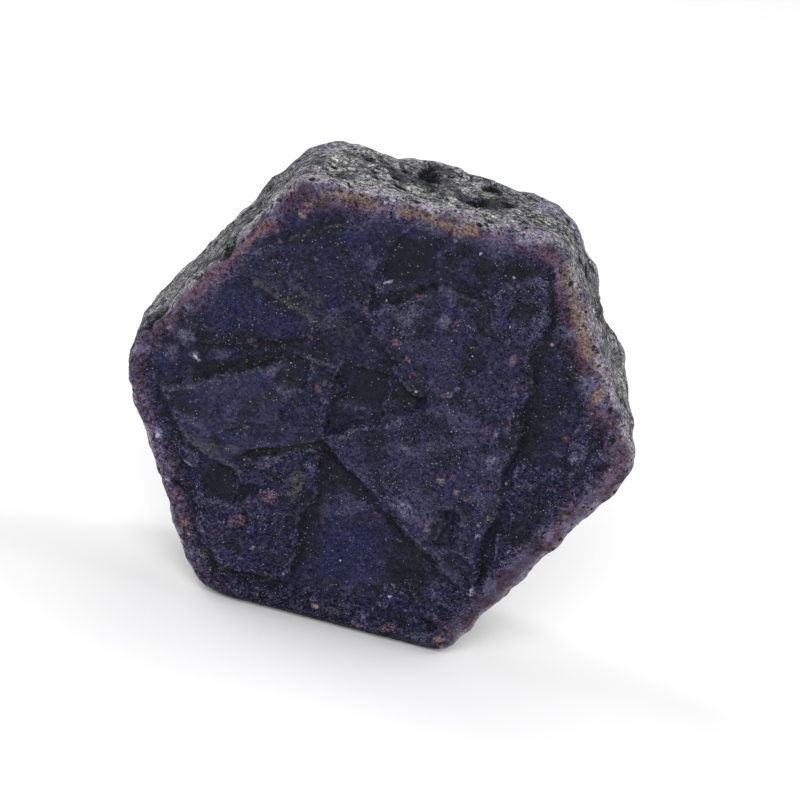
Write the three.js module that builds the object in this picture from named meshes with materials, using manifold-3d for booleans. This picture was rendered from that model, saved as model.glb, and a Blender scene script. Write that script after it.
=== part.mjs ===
// A rough sapphire: one thick, flat, six-sided crystal of corundum that stands on a prism side.
//
// Units are millimetres and +Z is up. X runs across the two broad hexagonal (basal) faces, Y runs
// through the crystal from the front basal face (-Y) to the back one (+Y), and the origin is at the
// bottom centre of the crystal's box. The crystal rests on its lowest prism side, which is worn flat.
//
// The body is a loft of six-cornered rings along Y. Growth plates with three-sided outlines are
// joined to both basal faces, and grooves, sunken areas and pits are cut from them and from the sides.

import * as THREE from 'three';
import { mergeVertices } from 'three/addons/utils/BufferGeometryUtils.js';
import Module from 'manifold-3d';

const wasm = await Module();
wasm.setup();

// ---- Driving dimensions ----------------------------------------------------------------------

// Corners of the hexagon, clockwise as the front face is seen, with the radius worn on each at the
// front rim and at the back rim. Side 0 runs from the left corner to the upper left one, side 1 is
// the top, and side 4 is the one that the crystal rests on.
const CORNERS = [
  { name: 'left', x: -29.0, z: 24.8, frontRadius: 6.8, backRadius: 3.2 },
  { name: 'upper left', x: -14.3, z: 49.3, frontRadius: 2.5, backRadius: 5.8 },
  { name: 'upper right', x: 14.2, z: 49.2, frontRadius: 3.2, backRadius: 8.6 },
  { name: 'right', x: 28.1, z: 26.9, frontRadius: 3.4, backRadius: 8.6 },
  { name: 'lower right', x: 13.1, z: 0.0, frontRadius: 3.6, backRadius: 3.6 },
  { name: 'lower left', x: -15.0, z: 0.0, frontRadius: 7.0, backRadius: 3.2 },
];
const CENTRE = { x: 0, z: 25 };

const FRONT = -1;              // which way a basal face looks along Y
const BACK = 1;
const FACE_Y = 8.8;            // middle of the crystal to the ground of either basal face
const RIM_DEPTH = 1.5;         // how far the worn rim reaches down the prism sides
// Width of the worn rim on the front and back faces, one value for each side of the hexagon.
const FRONT_RIM_WIDTHS = [0.9, 1.3, 2.4, 1.7, 1.0, 1.2];
const BACK_RIM_WIDTHS = [1.5, 1.2, 1.9, 1.6, 1.5, 1.4];

const POINTS_PER_SIDE = 15;
const RIM_RINGS = 3;
const SIDE_RINGS = 10;

const WANDER = 0.3;            // slow waviness of the prism sides
const CRUST_GRAIN = 0.16;      // how far single points of the crust stand out or in
const CRUST_SEED = 7;
const RESTING_SIDE = 4;
const SIDE_COUNT = CORNERS.length;

// Low swellings (+) and hollows (-) of the prism sides: u is measured along the side from its
// first corner, y through the crystal.
const SWELLINGS = [
  { side: 0, u: 5.2, y: -6.0, radius: 2.6, height: -0.55 },
  { side: 0, u: 11.2, y: 4.0, radius: 3.4, height: 0.3 },
  { side: 0, u: 16.5, y: -8.0, radius: 2.0, height: -0.5 },
  { side: 0, u: 21.7, y: 6.5, radius: 2.8, height: 0.32 },
  { side: 1, u: 3.4, y: 8.5, radius: 2.4, height: 0.2 },
  { side: 1, u: 12.8, y: 4.0, radius: 2.2, height: -0.6 },
  { side: 1, u: 13.8, y: 9.0, radius: 3.2, height: 0.85 },
  { side: 1, u: 18.6, y: -0.8, radius: 2.2, height: -0.5 },
  { side: 1, u: 8.5, y: 0.5, radius: 3.0, height: 0.3 },
  { side: 2, u: 8.3, y: 8.4, radius: 2.4, height: 0.45 },
  { side: 2, u: 12.1, y: 7.4, radius: 2.2, height: -0.5 },
  { side: 2, u: 18.3, y: 8.4, radius: 2.6, height: 0.5 },
  { side: 2, u: 23.3, y: 6.0, radius: 3.0, height: -0.5 },
  { side: 3, u: 7.5, y: 1.5, radius: 3.6, height: -0.5 },
  { side: 3, u: 18.5, y: 5.0, radius: 3.2, height: 0.4 },
  { side: 3, u: 24.0, y: -4.5, radius: 2.4, height: 0.3 },
  { side: 5, u: 8.2, y: 5.0, radius: 3.2, height: -0.5 },
  { side: 5, u: 15.2, y: -1.0, radius: 3.4, height: 0.4 },
  { side: 5, u: 23.7, y: 4.5, radius: 2.6, height: -0.4 },
];

// Growth plates of the front face: three-sided terraces that point left, with edges that climb at
// about 30 degrees, fall at about 30 degrees and stand upright. Outlines are [x, z].
const FRONT_PLATES = [
  {
    name: 'upper left field', height: 0.45,
    outline: [
      [-21.8, 28.6], [-16.0, 29.9], [-12.5, 31.0], [-10.2, 32.3], [-8.6, 33.9], [-5.0, 35.2],
      [-4.4, 38.6], [-4.8, 42.6], [-6.6, 45.6], [-9.6, 45.4], [-12.4, 43.2], [-15.4, 42.2],
      [-20.4, 36.6], [-23.2, 31.6],
    ],
  },
  {
    name: 'left plate', height: 0.75,
    outline: [
      [-23.4, 22.5], [-11.3, 29.3], [-10.2, 22.7], [-6.0, 24.6],
      [-5.9, 21.3], [-13.0, 18.4], [-15.3, 15.8], [-20.0, 17.8],
    ],
  },
  {
    name: 'left plate, upper step', height: 1.05,
    outline: [
      [-23.2, 22.5], [-19.8, 24.2], [-11.3, 29.2], [-11.2, 26.8], [-10.2, 26.3], [-10.6, 22.6],
      [-15.4, 20.2], [-18.6, 18.4], [-21.5, 19.8],
    ],
  },
  {
    name: 'middle plate', height: 0.55,
    outline: [[-10.6, 30.2], [-5.9, 30.2], [-5.9, 22.4], [-10.6, 22.0]],
  },
  {
    name: 'lower left plate', height: 0.85,
    outline: [
      [-14.5, 16.0], [-10.6, 18.2], [-8.1, 19.8], [-5.6, 20.4], [-6.1, 13.6], [-5.7, 4.8],
      [-12.5, 4.4], [-16.5, 8.5], [-17.8, 13.0],
    ],
  },
  {
    name: 'great right plate', height: 1.2,
    outline: [
      [-5.2, 21.7], [4.0, 27.4], [8.0, 30.2], [14.4, 33.5],
      [14.4, 8.4], [7.6, 12.6], [3.0, 15.6], [2.0, 16.8],
    ],
  },
  {
    name: 'upper right field', height: 0.9,
    outline: [[4.0, 27.6], [7.0, 41.4], [13.0, 44.0], [14.3, 41.0], [14.4, 28.0]],
  },
  {
    name: 'upper plate', height: 0.9,
    outline: [[-4.3, 36.4], [2.6, 41.5], [7.2, 41.2], [7.6, 31.0], [4.5, 29.8], [-1.2, 33.0]],
  },
  {
    name: 'top right plate', height: 1.15,
    outline: [[7.2, 42.2], [12.6, 44.9], [13.3, 44.7], [13.8, 41.4], [13.4, 37.4], [9.4, 38.4]],
  },
  {
    name: 'lower right field', height: 0.6,
    outline: [
      [15.6, 24.0], [21.4, 25.0], [22.6, 20.6], [17.2, 9.0], [14.2, 4.4],
      [4.8, 4.2], [4.8, 7.0], [10.6, 8.8], [15.4, 9.6],
    ],
  },
  {
    name: 'right ridge', height: 0.5,
    outline: [[20.6, 25.4], [21.8, 25.4], [21.8, 32.6], [20.4, 33.2]],
  },
];

// Knobs and shallow domes of the front face: base is the height of the plate that one stands on,
// height is how far it rises from there.
const FRONT_KNOBS = [
  { x: 3.8, z: 38.3, radius: 1.4, base: 0.9, height: 0.45 },
  { x: 4.0, z: 33.2, radius: 2.9, base: 0.9, height: 0.35 },
  { x: 9.5, z: 28.3, radius: 2.9, base: 1.1, height: 0.35 },
  { x: -7.0, z: 27.5, radius: 1.4, base: 0.55, height: 0.35 },
  { x: -7.2, z: 15.0, radius: 1.7, base: 0.85, height: 0.35 },
  { x: -10.4, z: 11.6, radius: 1.5, base: 0.85, height: 0.3 },
  { x: -13.8, z: 8.4, radius: 1.8, base: 0.85, height: 0.3 },
  { x: 7.0, z: 15.4, radius: 1.7, base: 1.2, height: 0.3 },
  { x: 12.2, z: 19.4, radius: 1.8, base: 1.2, height: 0.3 },
  { x: 21.6, z: 20.2, radius: 1.1, base: 0.6, height: 0.35 },
  { x: 13.4, z: 5.6, radius: 1.7, base: 0.55, height: 0.3 },
  { x: -1.2, z: 3.4, radius: 1.9, base: 0, height: 0.35 },
  { x: -18.6, z: 15.2, radius: 1.2, base: 0, height: 0.6 },
  { x: 24.0, z: 27.4, radius: 1.3, base: 0, height: 0.35 },
];

// Grooves of the front face, cut below its ground: [x, z] points, width and depth.
const FRONT_GROOVES = [
  { width: 1.9, depth: 0.6, path: [[-22.4, 24.6], [-16.0, 28.0], [-9.2, 31.2]] },
  { width: 1.2, depth: 0.5, path: [[-14.6, 17.4], [-8.0, 20.6], [-5.4, 21.0]] },
  { width: 1.3, depth: 0.6, path: [[-5.2, 21.0], [-5.1, 13.0], [-4.9, 4.6]] },
  { width: 1.3, depth: 0.55, path: [[-5.0, 21.0], [1.6, 16.6], [2.8, 14.8], [7.4, 11.8], [14.6, 7.6]] },
  { width: 1.5, depth: 0.5, path: [[15.2, 8.0], [15.1, 24.0], [15.3, 40.0], [13.9, 46.0]] },
  { width: 1.1, depth: 0.5, path: [[-5.5, 22.4], [-5.5, 30.4]] },
  { width: 1.3, depth: 0.5, path: [[-5.4, 22.6], [-2.0, 24.7], [3.6, 28.2]] },
  { width: 1.2, depth: 0.45, path: [[-15.5, 42.0], [-12.0, 43.8], [-9.0, 45.3]] },
  { width: 1.1, depth: 0.45, path: [[-4.6, 37.2], [0.0, 40.3], [2.4, 42.0]] },
  { width: 1.4, depth: 0.45, path: [[22.9, 25.4], [22.9, 31.6]] },
];

// Sunken areas of the front face that cut into the plates: outline and the height of the floor.
const FRONT_SUNKEN = [
  {
    name: 'notch of the great plate', floor: 0.1,
    outline: [[8.3, 13.6], [10.4, 13.6], [10.2, 17.0], [8.5, 16.6]],
  },
  {
    name: 'smooth patch', floor: 0.1,
    outline: [
      [-17.0, 15.2], [-14.2, 15.4], [-13.3, 13.8], [-13.8, 12.2], [-16.0, 11.9], [-17.3, 13.2],
    ],
  },
  {
    name: 'oval patch', floor: -0.35,
    outline: [[-3.0, 40.6], [0.2, 40.9], [1.7, 43.2], [0.8, 46.0], [-1.8, 46.5], [-3.6, 44.0]],
  },
  {
    name: 'square hollow', floor: -0.4,
    outline: [[-4.4, 26.4], [-0.4, 26.4], [-0.4, 30.2], [-4.4, 30.2]],
  },
  {
    name: 'dark step', floor: -0.3,
    outline: [[0.4, 27.8], [3.6, 28.6], [3.4, 30.4], [0.2, 29.8]],
  },
];

// Growth plates of the back face. They point the other way, as the crystal's symmetry asks.
const BACK_PLATES = [
  {
    name: 'back great plate', height: 1.0,
    outline: [[20.6, 24.6], [2.0, 35.3], [-7.5, 34.6], [-7.0, 12.0], [-1.0, 10.8]],
  },
  {
    name: 'back great plate, upper step', height: 1.25,
    outline: [[15.4, 24.4], [1.8, 32.2], [-3.4, 31.8], [-3.2, 17.0], [1.5, 15.4]],
  },
  {
    name: 'back upper plate', height: 0.8,
    outline: [[8.4, 40.2], [-0.6, 45.4], [-12.5, 45.2], [-18.8, 36.6], [-9.6, 36.2], [-4.8, 37.2]],
  },
  {
    name: 'back left plate', height: 0.7,
    outline: [[-9.2, 22.6], [-17.4, 33.8], [-22.4, 28.4], [-21.8, 20.8], [-16.0, 14.6]],
  },
  {
    name: 'back lower plate', height: 0.9,
    outline: [[14.8, 12.0], [5.2, 9.6], [-3.0, 8.2], [-11.5, 8.0], [-11.0, 3.6], [11.2, 3.4]],
  },
  {
    name: 'back right ridge', height: 0.55,
    outline: [[22.6, 29.0], [17.2, 38.6], [13.4, 39.0], [19.6, 27.6]],
  },
];
const BACK_KNOBS = [
  { x: 6.2, z: 24.4, radius: 2.6, base: 1.25, height: 0.35 },
  { x: -13.6, z: 40.8, radius: 2.2, base: 0.8, height: 0.35 },
  { x: -16.4, z: 24.4, radius: 2.4, base: 0.7, height: 0.4 },
  { x: 2.0, z: 6.0, radius: 1.6, base: 0.9, height: 0.35 },
  { x: 14.6, z: 36.0, radius: 1.5, base: 0.55, height: 0.35 },
];
const BACK_GROOVES = [
  { width: 1.6, depth: 0.5, path: [[21.4, 25.4], [2.2, 36.4], [-8.4, 35.6]] },
  { width: 1.5, depth: 0.5, path: [[-8.3, 35.0], [-8.0, 12.4]] },
  { width: 1.3, depth: 0.45, path: [[-7.4, 11.0], [-1.2, 9.8], [14.8, 14.6]] },
  { width: 1.2, depth: 0.4, path: [[-15.2, 13.6], [-8.6, 22.8]] },
];
const BACK_SUNKEN = [
  {
    name: 'back notch', floor: 0.2,
    outline: [[-6.2, 26.0], [-2.2, 24.6], [-2.4, 21.4], [-6.0, 21.8]],
  },
];

// Pits: the crust of the prism sides is riddled with them. These are the large ones.
// u and y place a pit as for a swelling; width runs along the side, length along Y.
const PITS = [
  { side: 1, u: 12.8, y: 3.8, width: 2.6, length: 5.6, depth: 1.1 },
  { side: 1, u: 18.3, y: -1.0, width: 3.2, length: 3.8, depth: 1.0 },
  { side: 1, u: 17.0, y: 7.6, width: 1.1, length: 1.2, depth: 0.5 },
  { side: 1, u: 10.0, y: -3.3, width: 1.8, length: 1.8, depth: 0.6 },
  { side: 1, u: 17.6, y: -4.8, width: 1.2, length: 1.3, depth: 0.5 },
  { side: 1, u: 23.0, y: -3.9, width: 1.3, length: 1.2, depth: 0.5 },
  { side: 1, u: 19.8, y: 4.6, width: 2.2, length: 2.6, depth: 0.7 },
  { side: 1, u: 10.1, y: 4.0, width: 1.3, length: 1.8, depth: 0.5 },
  { side: 1, u: 2.8, y: -2.2, width: 1.1, length: 1.3, depth: 0.4 },
  { side: 1, u: 21.8, y: 0.2, width: 1.5, length: 1.7, depth: 0.6 },
  { side: 1, u: 6.2, y: 3.6, width: 1.5, length: 2.0, depth: 0.5 },
  { side: 0, u: 5.2, y: -6.4, width: 3.6, length: 4.4, depth: 0.8 },
  { side: 0, u: 16.5, y: -7.4, width: 2.4, length: 3.6, depth: 0.9 },
  { side: 0, u: 12.2, y: -5.4, width: 1.0, length: 1.4, depth: 0.5 },
  { side: 0, u: 25.6, y: -3.2, width: 1.2, length: 1.6, depth: 0.5 },
  { side: 0, u: 8.8, y: 2.0, width: 1.8, length: 3.0, depth: 0.6 },
  { side: 0, u: 19.8, y: 1.0, width: 1.6, length: 2.6, depth: 0.6 },
  { side: 2, u: 5.9, y: 1.6, width: 2.0, length: 2.6, depth: 0.7 },
  { side: 2, u: 11.9, y: 5.2, width: 2.2, length: 3.4, depth: 0.8 },
  { side: 2, u: 16.5, y: -0.6, width: 1.8, length: 2.4, depth: 0.6 },
  { side: 2, u: 21.7, y: 2.8, width: 1.8, length: 2.2, depth: 0.6 },
  { side: 3, u: 5.9, y: -2.0, width: 2.4, length: 3.2, depth: 0.8 },
  { side: 3, u: 14.1, y: 3.4, width: 2.6, length: 2.8, depth: 0.8 },
  { side: 3, u: 20.9, y: -4.0, width: 1.6, length: 2.2, depth: 0.6 },
  { side: 5, u: 6.5, y: -1.8, width: 2.2, length: 2.8, depth: 0.7 },
  { side: 5, u: 14.7, y: 4.4, width: 2.6, length: 3.0, depth: 0.8 },
  { side: 5, u: 22.3, y: -2.6, width: 1.8, length: 2.4, depth: 0.7 },
];
const SMALL_PITS_PER_SIDE = 7;
const SMALL_PIT_SEED = 20;

// ---- Small helpers ---------------------------------------------------------------------------

// A repeatable stream of numbers from 0 to 1.
function numberStream(seed) {
  let state = seed >>> 0;
  return () => {
    state = (Math.imul(state, 1664525) + 1013904223) >>> 0;
    return state / 4294967296;
  };
}

const mix = (a, b, t) => a + (b - a) * t;
const wrap = (index) => (index + SIDE_COUNT) % SIDE_COUNT;

// Direction, length and outward normal of one side of the hexagon.
function sideFrame(side) {
  const from = CORNERS[side];
  const to = CORNERS[wrap(side + 1)];
  const length = Math.hypot(to.x - from.x, to.z - from.z);
  const along = { x: (to.x - from.x) / length, z: (to.z - from.z) / length };
  return { from, to, length, along, out: { x: -along.z, z: along.x } };
}
const SIDES = CORNERS.map((corner, side) => sideFrame(side));

// Half the angle that the outline turns through at a corner.
function halfTurn(corner) {
  const before = SIDES[wrap(corner - 1)].along;
  const after = SIDES[corner].along;
  return 0.5 * Math.acos(before.x * after.x + before.z * after.z);
}
const HALF_TURNS = CORNERS.map((corner, index) => halfTurn(index));

// A point of the outline at distance u along a side, with its corners rounded: near a corner the
// point moves on to an arc of the corner's radius that touches both sides.
function outlinePoint(side, u, backness) {
  const frame = SIDES[side];
  const ends = [
    { corner: side, distance: u, sign: 1 },
    { corner: wrap(side + 1), distance: frame.length - u, sign: -1 },
  ];
  let along = u;
  let inward = 0;
  for (const end of ends) {
    const corner = CORNERS[end.corner];
    const radius = mix(corner.frontRadius, corner.backRadius, backness);
    const reach = radius * Math.tan(HALF_TURNS[end.corner]);
    if (end.distance < reach) {
      const angle = (1 - end.distance / reach) * HALF_TURNS[end.corner];
      const moved = reach - radius * Math.sin(angle);
      along = end.sign > 0 ? moved : frame.length - moved;
      inward = radius * (1 - Math.cos(angle));
    }
  }
  return {
    x: frame.from.x + frame.along.x * along - frame.out.x * inward,
    z: frame.from.z + frame.along.z * along - frame.out.z * inward,
  };
}

// Value that belongs to each side, blended over the last quarter of a side into the next one's.
function blendedBySide(values, side, u) {
  const frame = SIDES[side];
  const fraction = u / frame.length;
  const share = 0.25;
  if (fraction < share) {
    return mix(mix(values[wrap(side - 1)], values[side], 0.5), values[side], fraction / share);
  }
  if (fraction > 1 - share) {
    return mix(mix(values[wrap(side + 1)], values[side], 0.5), values[side], (1 - fraction) / share);
  }
  return values[side];
}

// Slow waviness of the sides, a sum of four sines of the distance round and through the crystal.
function waviness(round, y) {
  return (
    Math.sin(0.83 * round + 0.31 * y + 0.4)
    + 0.8 * Math.sin(1.37 * round - 0.62 * y + 2.1)
    + 0.7 * Math.sin(0.47 * round + 1.13 * y + 4.0)
    + 0.5 * Math.sin(2.3 * round + 0.9 * y + 1.3)
  ) / 3;
}

// Height of the side's surface over the plain prism.
function sideRelief(side, u, y) {
  let height = side === RESTING_SIDE ? 0 : WANDER * waviness(side * 25 + u, y);
  for (const swelling of SWELLINGS) {
    if (swelling.side === side) {
      const distance = Math.hypot(u - swelling.u, y - swelling.y);
      height += swelling.height * Math.exp(-((distance / swelling.radius) ** 2));
    }
  }
  return height;
}

// The geometry with nothing but its places, so that points that coincide can be merged.
function bareGeometry(geometry) {
  geometry.deleteAttribute('normal');
  geometry.deleteAttribute('uv');
  return mergeVertices(geometry, 1e-5);
}

// A closed solid for joining and cutting, from a closed three.js geometry.
function solidFrom(geometry) {
  const merged = bareGeometry(geometry);
  return new wasm.Manifold(new wasm.Mesh({
    numProp: 3,
    vertProperties: new Float32Array(merged.attributes.position.array),
    triVerts: new Uint32Array(merged.index.array),
  }));
}

function geometryFrom(solid) {
  const mesh = solid.getMesh();
  const geometry = new THREE.BufferGeometry();
  geometry.setAttribute('position', new THREE.BufferAttribute(mesh.vertProperties, 3));
  geometry.setIndex(new THREE.BufferAttribute(mesh.triVerts, 1));
  return geometry;
}

// ---- The body --------------------------------------------------------------------------------

// One ring of a worn rim, step rings in from a basal face: the rim turns over a quarter of an
// ellipse. inset is the share of the rim's width.
function rimRing(step, facing, widths) {
  const angle = (step / RIM_RINGS) * (Math.PI / 2);
  return {
    y: facing * (FACE_Y - RIM_DEPTH * (1 - Math.cos(angle))),
    inset: 1 - Math.sin(angle),
    widths,
  };
}

// The rings of the loft, front to back. Those between the two rims are evenly spaced.
function ringPlan() {
  const rings = [];
  for (let step = 0; step < RIM_RINGS; step += 1) {
    rings.push(rimRing(step, FRONT, FRONT_RIM_WIDTHS));
  }
  const span = FACE_Y - RIM_DEPTH;
  for (let step = 0; step <= SIDE_RINGS; step += 1) {
    rings.push({ y: mix(-span, span, step / SIDE_RINGS), inset: 0, widths: FRONT_RIM_WIDTHS });
  }
  for (let step = RIM_RINGS - 1; step >= 0; step -= 1) {
    rings.push(rimRing(step, BACK, BACK_RIM_WIDTHS));
  }
  return rings;
}

function ringPoint(ring, side, u, grain) {
  const backness = (ring.y + FACE_Y) / (2 * FACE_Y);
  const frame = SIDES[side];
  const point = outlinePoint(side, u, backness);
  const roughness = side === RESTING_SIDE ? 0 : CRUST_GRAIN * grain;
  const relief = (sideRelief(side, u, ring.y) + roughness) * (1 - ring.inset);
  const x = point.x + frame.out.x * relief;
  const z = point.z + frame.out.z * relief;
  const reach = Math.hypot(x - CENTRE.x, z - CENTRE.z);
  const scale = 1 - (ring.inset * blendedBySide(ring.widths, side, u)) / reach;
  return new THREE.Vector3(CENTRE.x + (x - CENTRE.x) * scale, ring.y, CENTRE.z + (z - CENTRE.z) * scale);
}

function bodySolid() {
  const rings = ringPlan();
  const round = SIDE_COUNT * POINTS_PER_SIDE;
  const next = numberStream(CRUST_SEED);
  const positions = [];
  for (const ring of rings) {
    for (let side = 0; side < SIDE_COUNT; side += 1) {
      for (let step = 0; step < POINTS_PER_SIDE; step += 1) {
        const u = (SIDES[side].length * step) / POINTS_PER_SIDE;
        positions.push(...ringPoint(ring, side, u, 2 * next() - 1).toArray());
      }
    }
  }
  const frontCentre = positions.length / 3;
  positions.push(CENTRE.x, -FACE_Y, CENTRE.z);
  positions.push(CENTRE.x, FACE_Y, CENTRE.z);
  const triangles = [];
  for (let row = 0; row < rings.length - 1; row += 1) {
    for (let step = 0; step < round; step += 1) {
      const a = row * round + step;
      const b = row * round + ((step + 1) % round);
      triangles.push(a, b, a + round, b, b + round, a + round);
    }
  }
  const last = (rings.length - 1) * round;
  for (let step = 0; step < round; step += 1) {
    const next = (step + 1) % round;
    triangles.push(frontCentre, next, step);
    triangles.push(frontCentre + 1, last + step, last + next);
  }
  const geometry = new THREE.BufferGeometry();
  geometry.setAttribute('position', new THREE.Float32BufferAttribute(positions, 3));
  geometry.setIndex(triangles);
  return solidFrom(geometry);
}

// ---- Relief of the basal faces ---------------------------------------------------------------

const PLATE_ROOT = 1.4;        // how deep a plate is let into the body
const WALL_RUN = 0.55;         // how far a plate's wall runs out for each millimetre of its height
const KNOB_SIDES = 8;
const KNOB_ROOT = 0.4;         // how deep a knob is let into what it stands on

// Moves every corner of an outline outwards by a distance, along the mitre of its two edges.
function offsetOutline(outline, distance) {
  return outline.map(([x, z], index) => {
    const [beforeX, beforeZ] = outline[(index + outline.length - 1) % outline.length];
    const [afterX, afterZ] = outline[(index + 1) % outline.length];
    const into = new THREE.Vector2(x - beforeX, z - beforeZ).normalize();
    const outOf = new THREE.Vector2(afterX - x, afterZ - z).normalize();
    const mitre = new THREE.Vector2(into.y + outOf.y, -into.x - outOf.x).normalize();
    const stretch = distance / Math.max(0.5, mitre.x * into.y - mitre.y * into.x);
    return [x + mitre.x * stretch, z + mitre.y * stretch];
  });
}

function anticlockwise(outline) {
  const area = THREE.ShapeUtils.area(outline.map(([x, z]) => new THREE.Vector2(x, z)));
  return area > 0 ? outline : [...outline].reverse();
}

// A closed solid between a lower and an upper outline of equally many points, at two heights over
// the ground of a basal face. Both run anticlockwise in x, z.
function slab(lower, upper, lowerHeight, upperHeight, facing) {
  const count = lower.length;
  const lowerY = facing * (FACE_Y + lowerHeight);
  const upperY = facing * (FACE_Y + upperHeight);
  const positions = [
    ...lower.flatMap(([x, z]) => [x, lowerY, z]),
    ...upper.flatMap(([x, z]) => [x, upperY, z]),
  ];
  const caps = THREE.ShapeUtils.triangulateShape(lower.map(([x, z]) => new THREE.Vector2(x, z)), []);
  const triangles = [];
  const addTriangle = (a, b, c) => triangles.push(...(facing === FRONT ? [a, b, c] : [a, c, b]));
  for (const [a, b, c] of caps) {
    addTriangle(a, c, b);
    addTriangle(a + count, b + count, c + count);
  }
  for (let index = 0; index < count; index += 1) {
    const next = (index + 1) % count;
    addTriangle(index, next, next + count);
    addTriangle(index, next + count, index + count);
  }
  const geometry = new THREE.BufferGeometry();
  geometry.setAttribute('position', new THREE.Float32BufferAttribute(positions, 3));
  geometry.setIndex(triangles);
  return solidFrom(geometry);
}

// A terrace whose wall slopes out from its top edge down to its root inside the body.
function plateSolid(plate, facing) {
  const top = anticlockwise(plate.outline);
  const foot = offsetOutline(top, WALL_RUN * (plate.height + PLATE_ROOT));
  return slab(foot, top, -PLATE_ROOT, plate.height, facing);
}

const CUT_TOP = 1.7;           // height to which the cutting solids reach over the ground

// A sunken area, cut with sloping walls down to its floor.
function sunkenSolid(area, facing) {
  const floor = anticlockwise(area.outline);
  const mouth = offsetOutline(floor, WALL_RUN * (CUT_TOP - area.floor));
  return slab(floor, mouth, area.floor, CUT_TOP, facing);
}

// A groove with a V section along a path of straight stretches.
function grooveSolid(groove, facing) {
  const bottomHalf = 0.15;
  const rise = 0.3;
  const topHalf = (groove.width / 2) * (1 + rise / groove.depth);
  let whole = null;
  for (let index = 0; index + 1 < groove.path.length; index += 1) {
    const from = new THREE.Vector2(...groove.path[index]);
    const to = new THREE.Vector2(...groove.path[index + 1]);
    const along = to.clone().sub(from).normalize();
    const across = new THREE.Vector2(-along.y, along.x);
    const band = (half) => anticlockwise([[-1, -1], [1, -1], [1, 1], [-1, 1]].map(([end, flank]) => {
      const point = (end < 0 ? from : to).clone();
      point.addScaledVector(along, end * half).addScaledVector(across, flank * half);
      return [point.x, point.y];
    }));
    const stretch = slab(band(bottomHalf), band(topHalf), -groove.depth, rise, facing);
    whole = whole ? whole.add(stretch) : stretch;
  }
  return whole;
}

// A rounded knob: a many-sided foot under a narrower, lower-domed crown with a small flat top.
function knobSolid(knob, facing) {
  const outlineAt = (radius) => Array.from({ length: KNOB_SIDES }, (unused, index) => {
    const angle = (index / KNOB_SIDES) * Math.PI * 2 + knob.x;
    const reach = radius * (1 + 0.12 * Math.sin(2 * angle + knob.z) + 0.07 * Math.sin(3 * angle + knob.x));
    return [knob.x + reach * Math.cos(angle), knob.z + reach * Math.sin(angle)];
  });
  const foot = outlineAt(knob.radius);
  const shoulder = outlineAt(knob.radius * 0.8);
  const crown = outlineAt(knob.radius * 0.42);
  const shoulderHeight = knob.base + knob.height * 0.6;
  const lowerPart = slab(foot, shoulder, knob.base - KNOB_ROOT, shoulderHeight, facing);
  const upperPart = slab(shoulder, crown, shoulderHeight, knob.base + knob.height, facing);
  return lowerPart.add(upperPart);
}

function dressFace(body, facing, { plates, knobs, grooves, sunken }) {
  let solid = body;
  for (const groove of grooves) {
    solid = solid.subtract(grooveSolid(groove, facing));
  }
  for (const plate of plates) {
    solid = solid.add(plateSolid(plate, facing));
  }
  for (const area of sunken) {
    solid = solid.subtract(sunkenSolid(area, facing));
  }
  for (const knob of knobs) {
    solid = solid.add(knobSolid(knob, facing));
  }
  return solid;
}

// ---- Pits of the prism sides -----------------------------------------------------------------

const LARGE_PIT = 2.0;         // a pit at least this wide is cut with a finer ball

// A pit is the bite of a lumpy ball: an icosahedron with its corners moved in and out.
function pitSolid(pit, next) {
  const across = Math.max(pit.width, pit.length);
  const ball = bareGeometry(new THREE.IcosahedronGeometry(1, across >= LARGE_PIT ? 1 : 0));
  const place = ball.attributes.position;
  for (let index = 0; index < place.count; index += 1) {
    const swell = 0.82 + 0.36 * next();
    place.setXYZ(index, place.getX(index) * swell, place.getY(index) * swell, place.getZ(index) * swell);
  }
  const frame = SIDES[pit.side];
  const surface = outlinePoint(pit.side, pit.u, (pit.y + FACE_Y) / (2 * FACE_Y));
  const height = sideRelief(pit.side, pit.u, pit.y) + pit.depth * 0.35;
  const along = new THREE.Vector3(frame.along.x, 0, frame.along.z);
  const out = new THREE.Vector3(frame.out.x, 0, frame.out.z);
  const through = new THREE.Vector3().crossVectors(out, along);
  ball.rotateZ(next() * Math.PI);
  ball.scale(pit.width / 2, pit.length / 2, pit.depth * 1.35);
  ball.applyMatrix4(new THREE.Matrix4().makeBasis(along, through, out));
  ball.translate(
    surface.x + frame.out.x * height,
    pit.y,
    surface.z + frame.out.z * height,
  );
  return solidFrom(ball);
}

// Small pits, scattered over every side but the resting one.
function smallPits(next) {
  const pits = [];
  for (let side = 0; side < SIDE_COUNT; side += 1) {
    for (let count = 0; count < SMALL_PITS_PER_SIDE && side !== RESTING_SIDE; count += 1) {
      pits.push({
        side,
        u: mix(2.5, SIDES[side].length - 2.5, next()),
        y: mix(-6.5, 7.5, next()),
        width: mix(0.9, 1.7, next()),
        length: mix(1.0, 2.2, next()),
        depth: mix(0.35, 0.6, next()),
      });
    }
  }
  return pits;
}

// ---- The crystal -----------------------------------------------------------------------------

// A box that reaches from z = 0 up past the crystal, which gives it its flat resting face.
function aboveGround() {
  const size = 200;
  const box = new THREE.BoxGeometry(size, size, size);
  box.translate(0, 0, size / 2);
  return solidFrom(box);
}

function crystalGeometry() {
  const next = numberStream(SMALL_PIT_SEED);
  let solid = bodySolid();
  for (const pit of [...PITS, ...smallPits(next)]) {
    solid = solid.subtract(pitSolid(pit, next));
  }
  solid = dressFace(solid, FRONT, {
    plates: FRONT_PLATES, knobs: FRONT_KNOBS, grooves: FRONT_GROOVES, sunken: FRONT_SUNKEN,
  });
  solid = dressFace(solid, BACK, {
    plates: BACK_PLATES, knobs: BACK_KNOBS, grooves: BACK_GROOVES, sunken: BACK_SUNKEN,
  });
  return geometryFrom(solid.intersect(aboveGround()));
}

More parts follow.
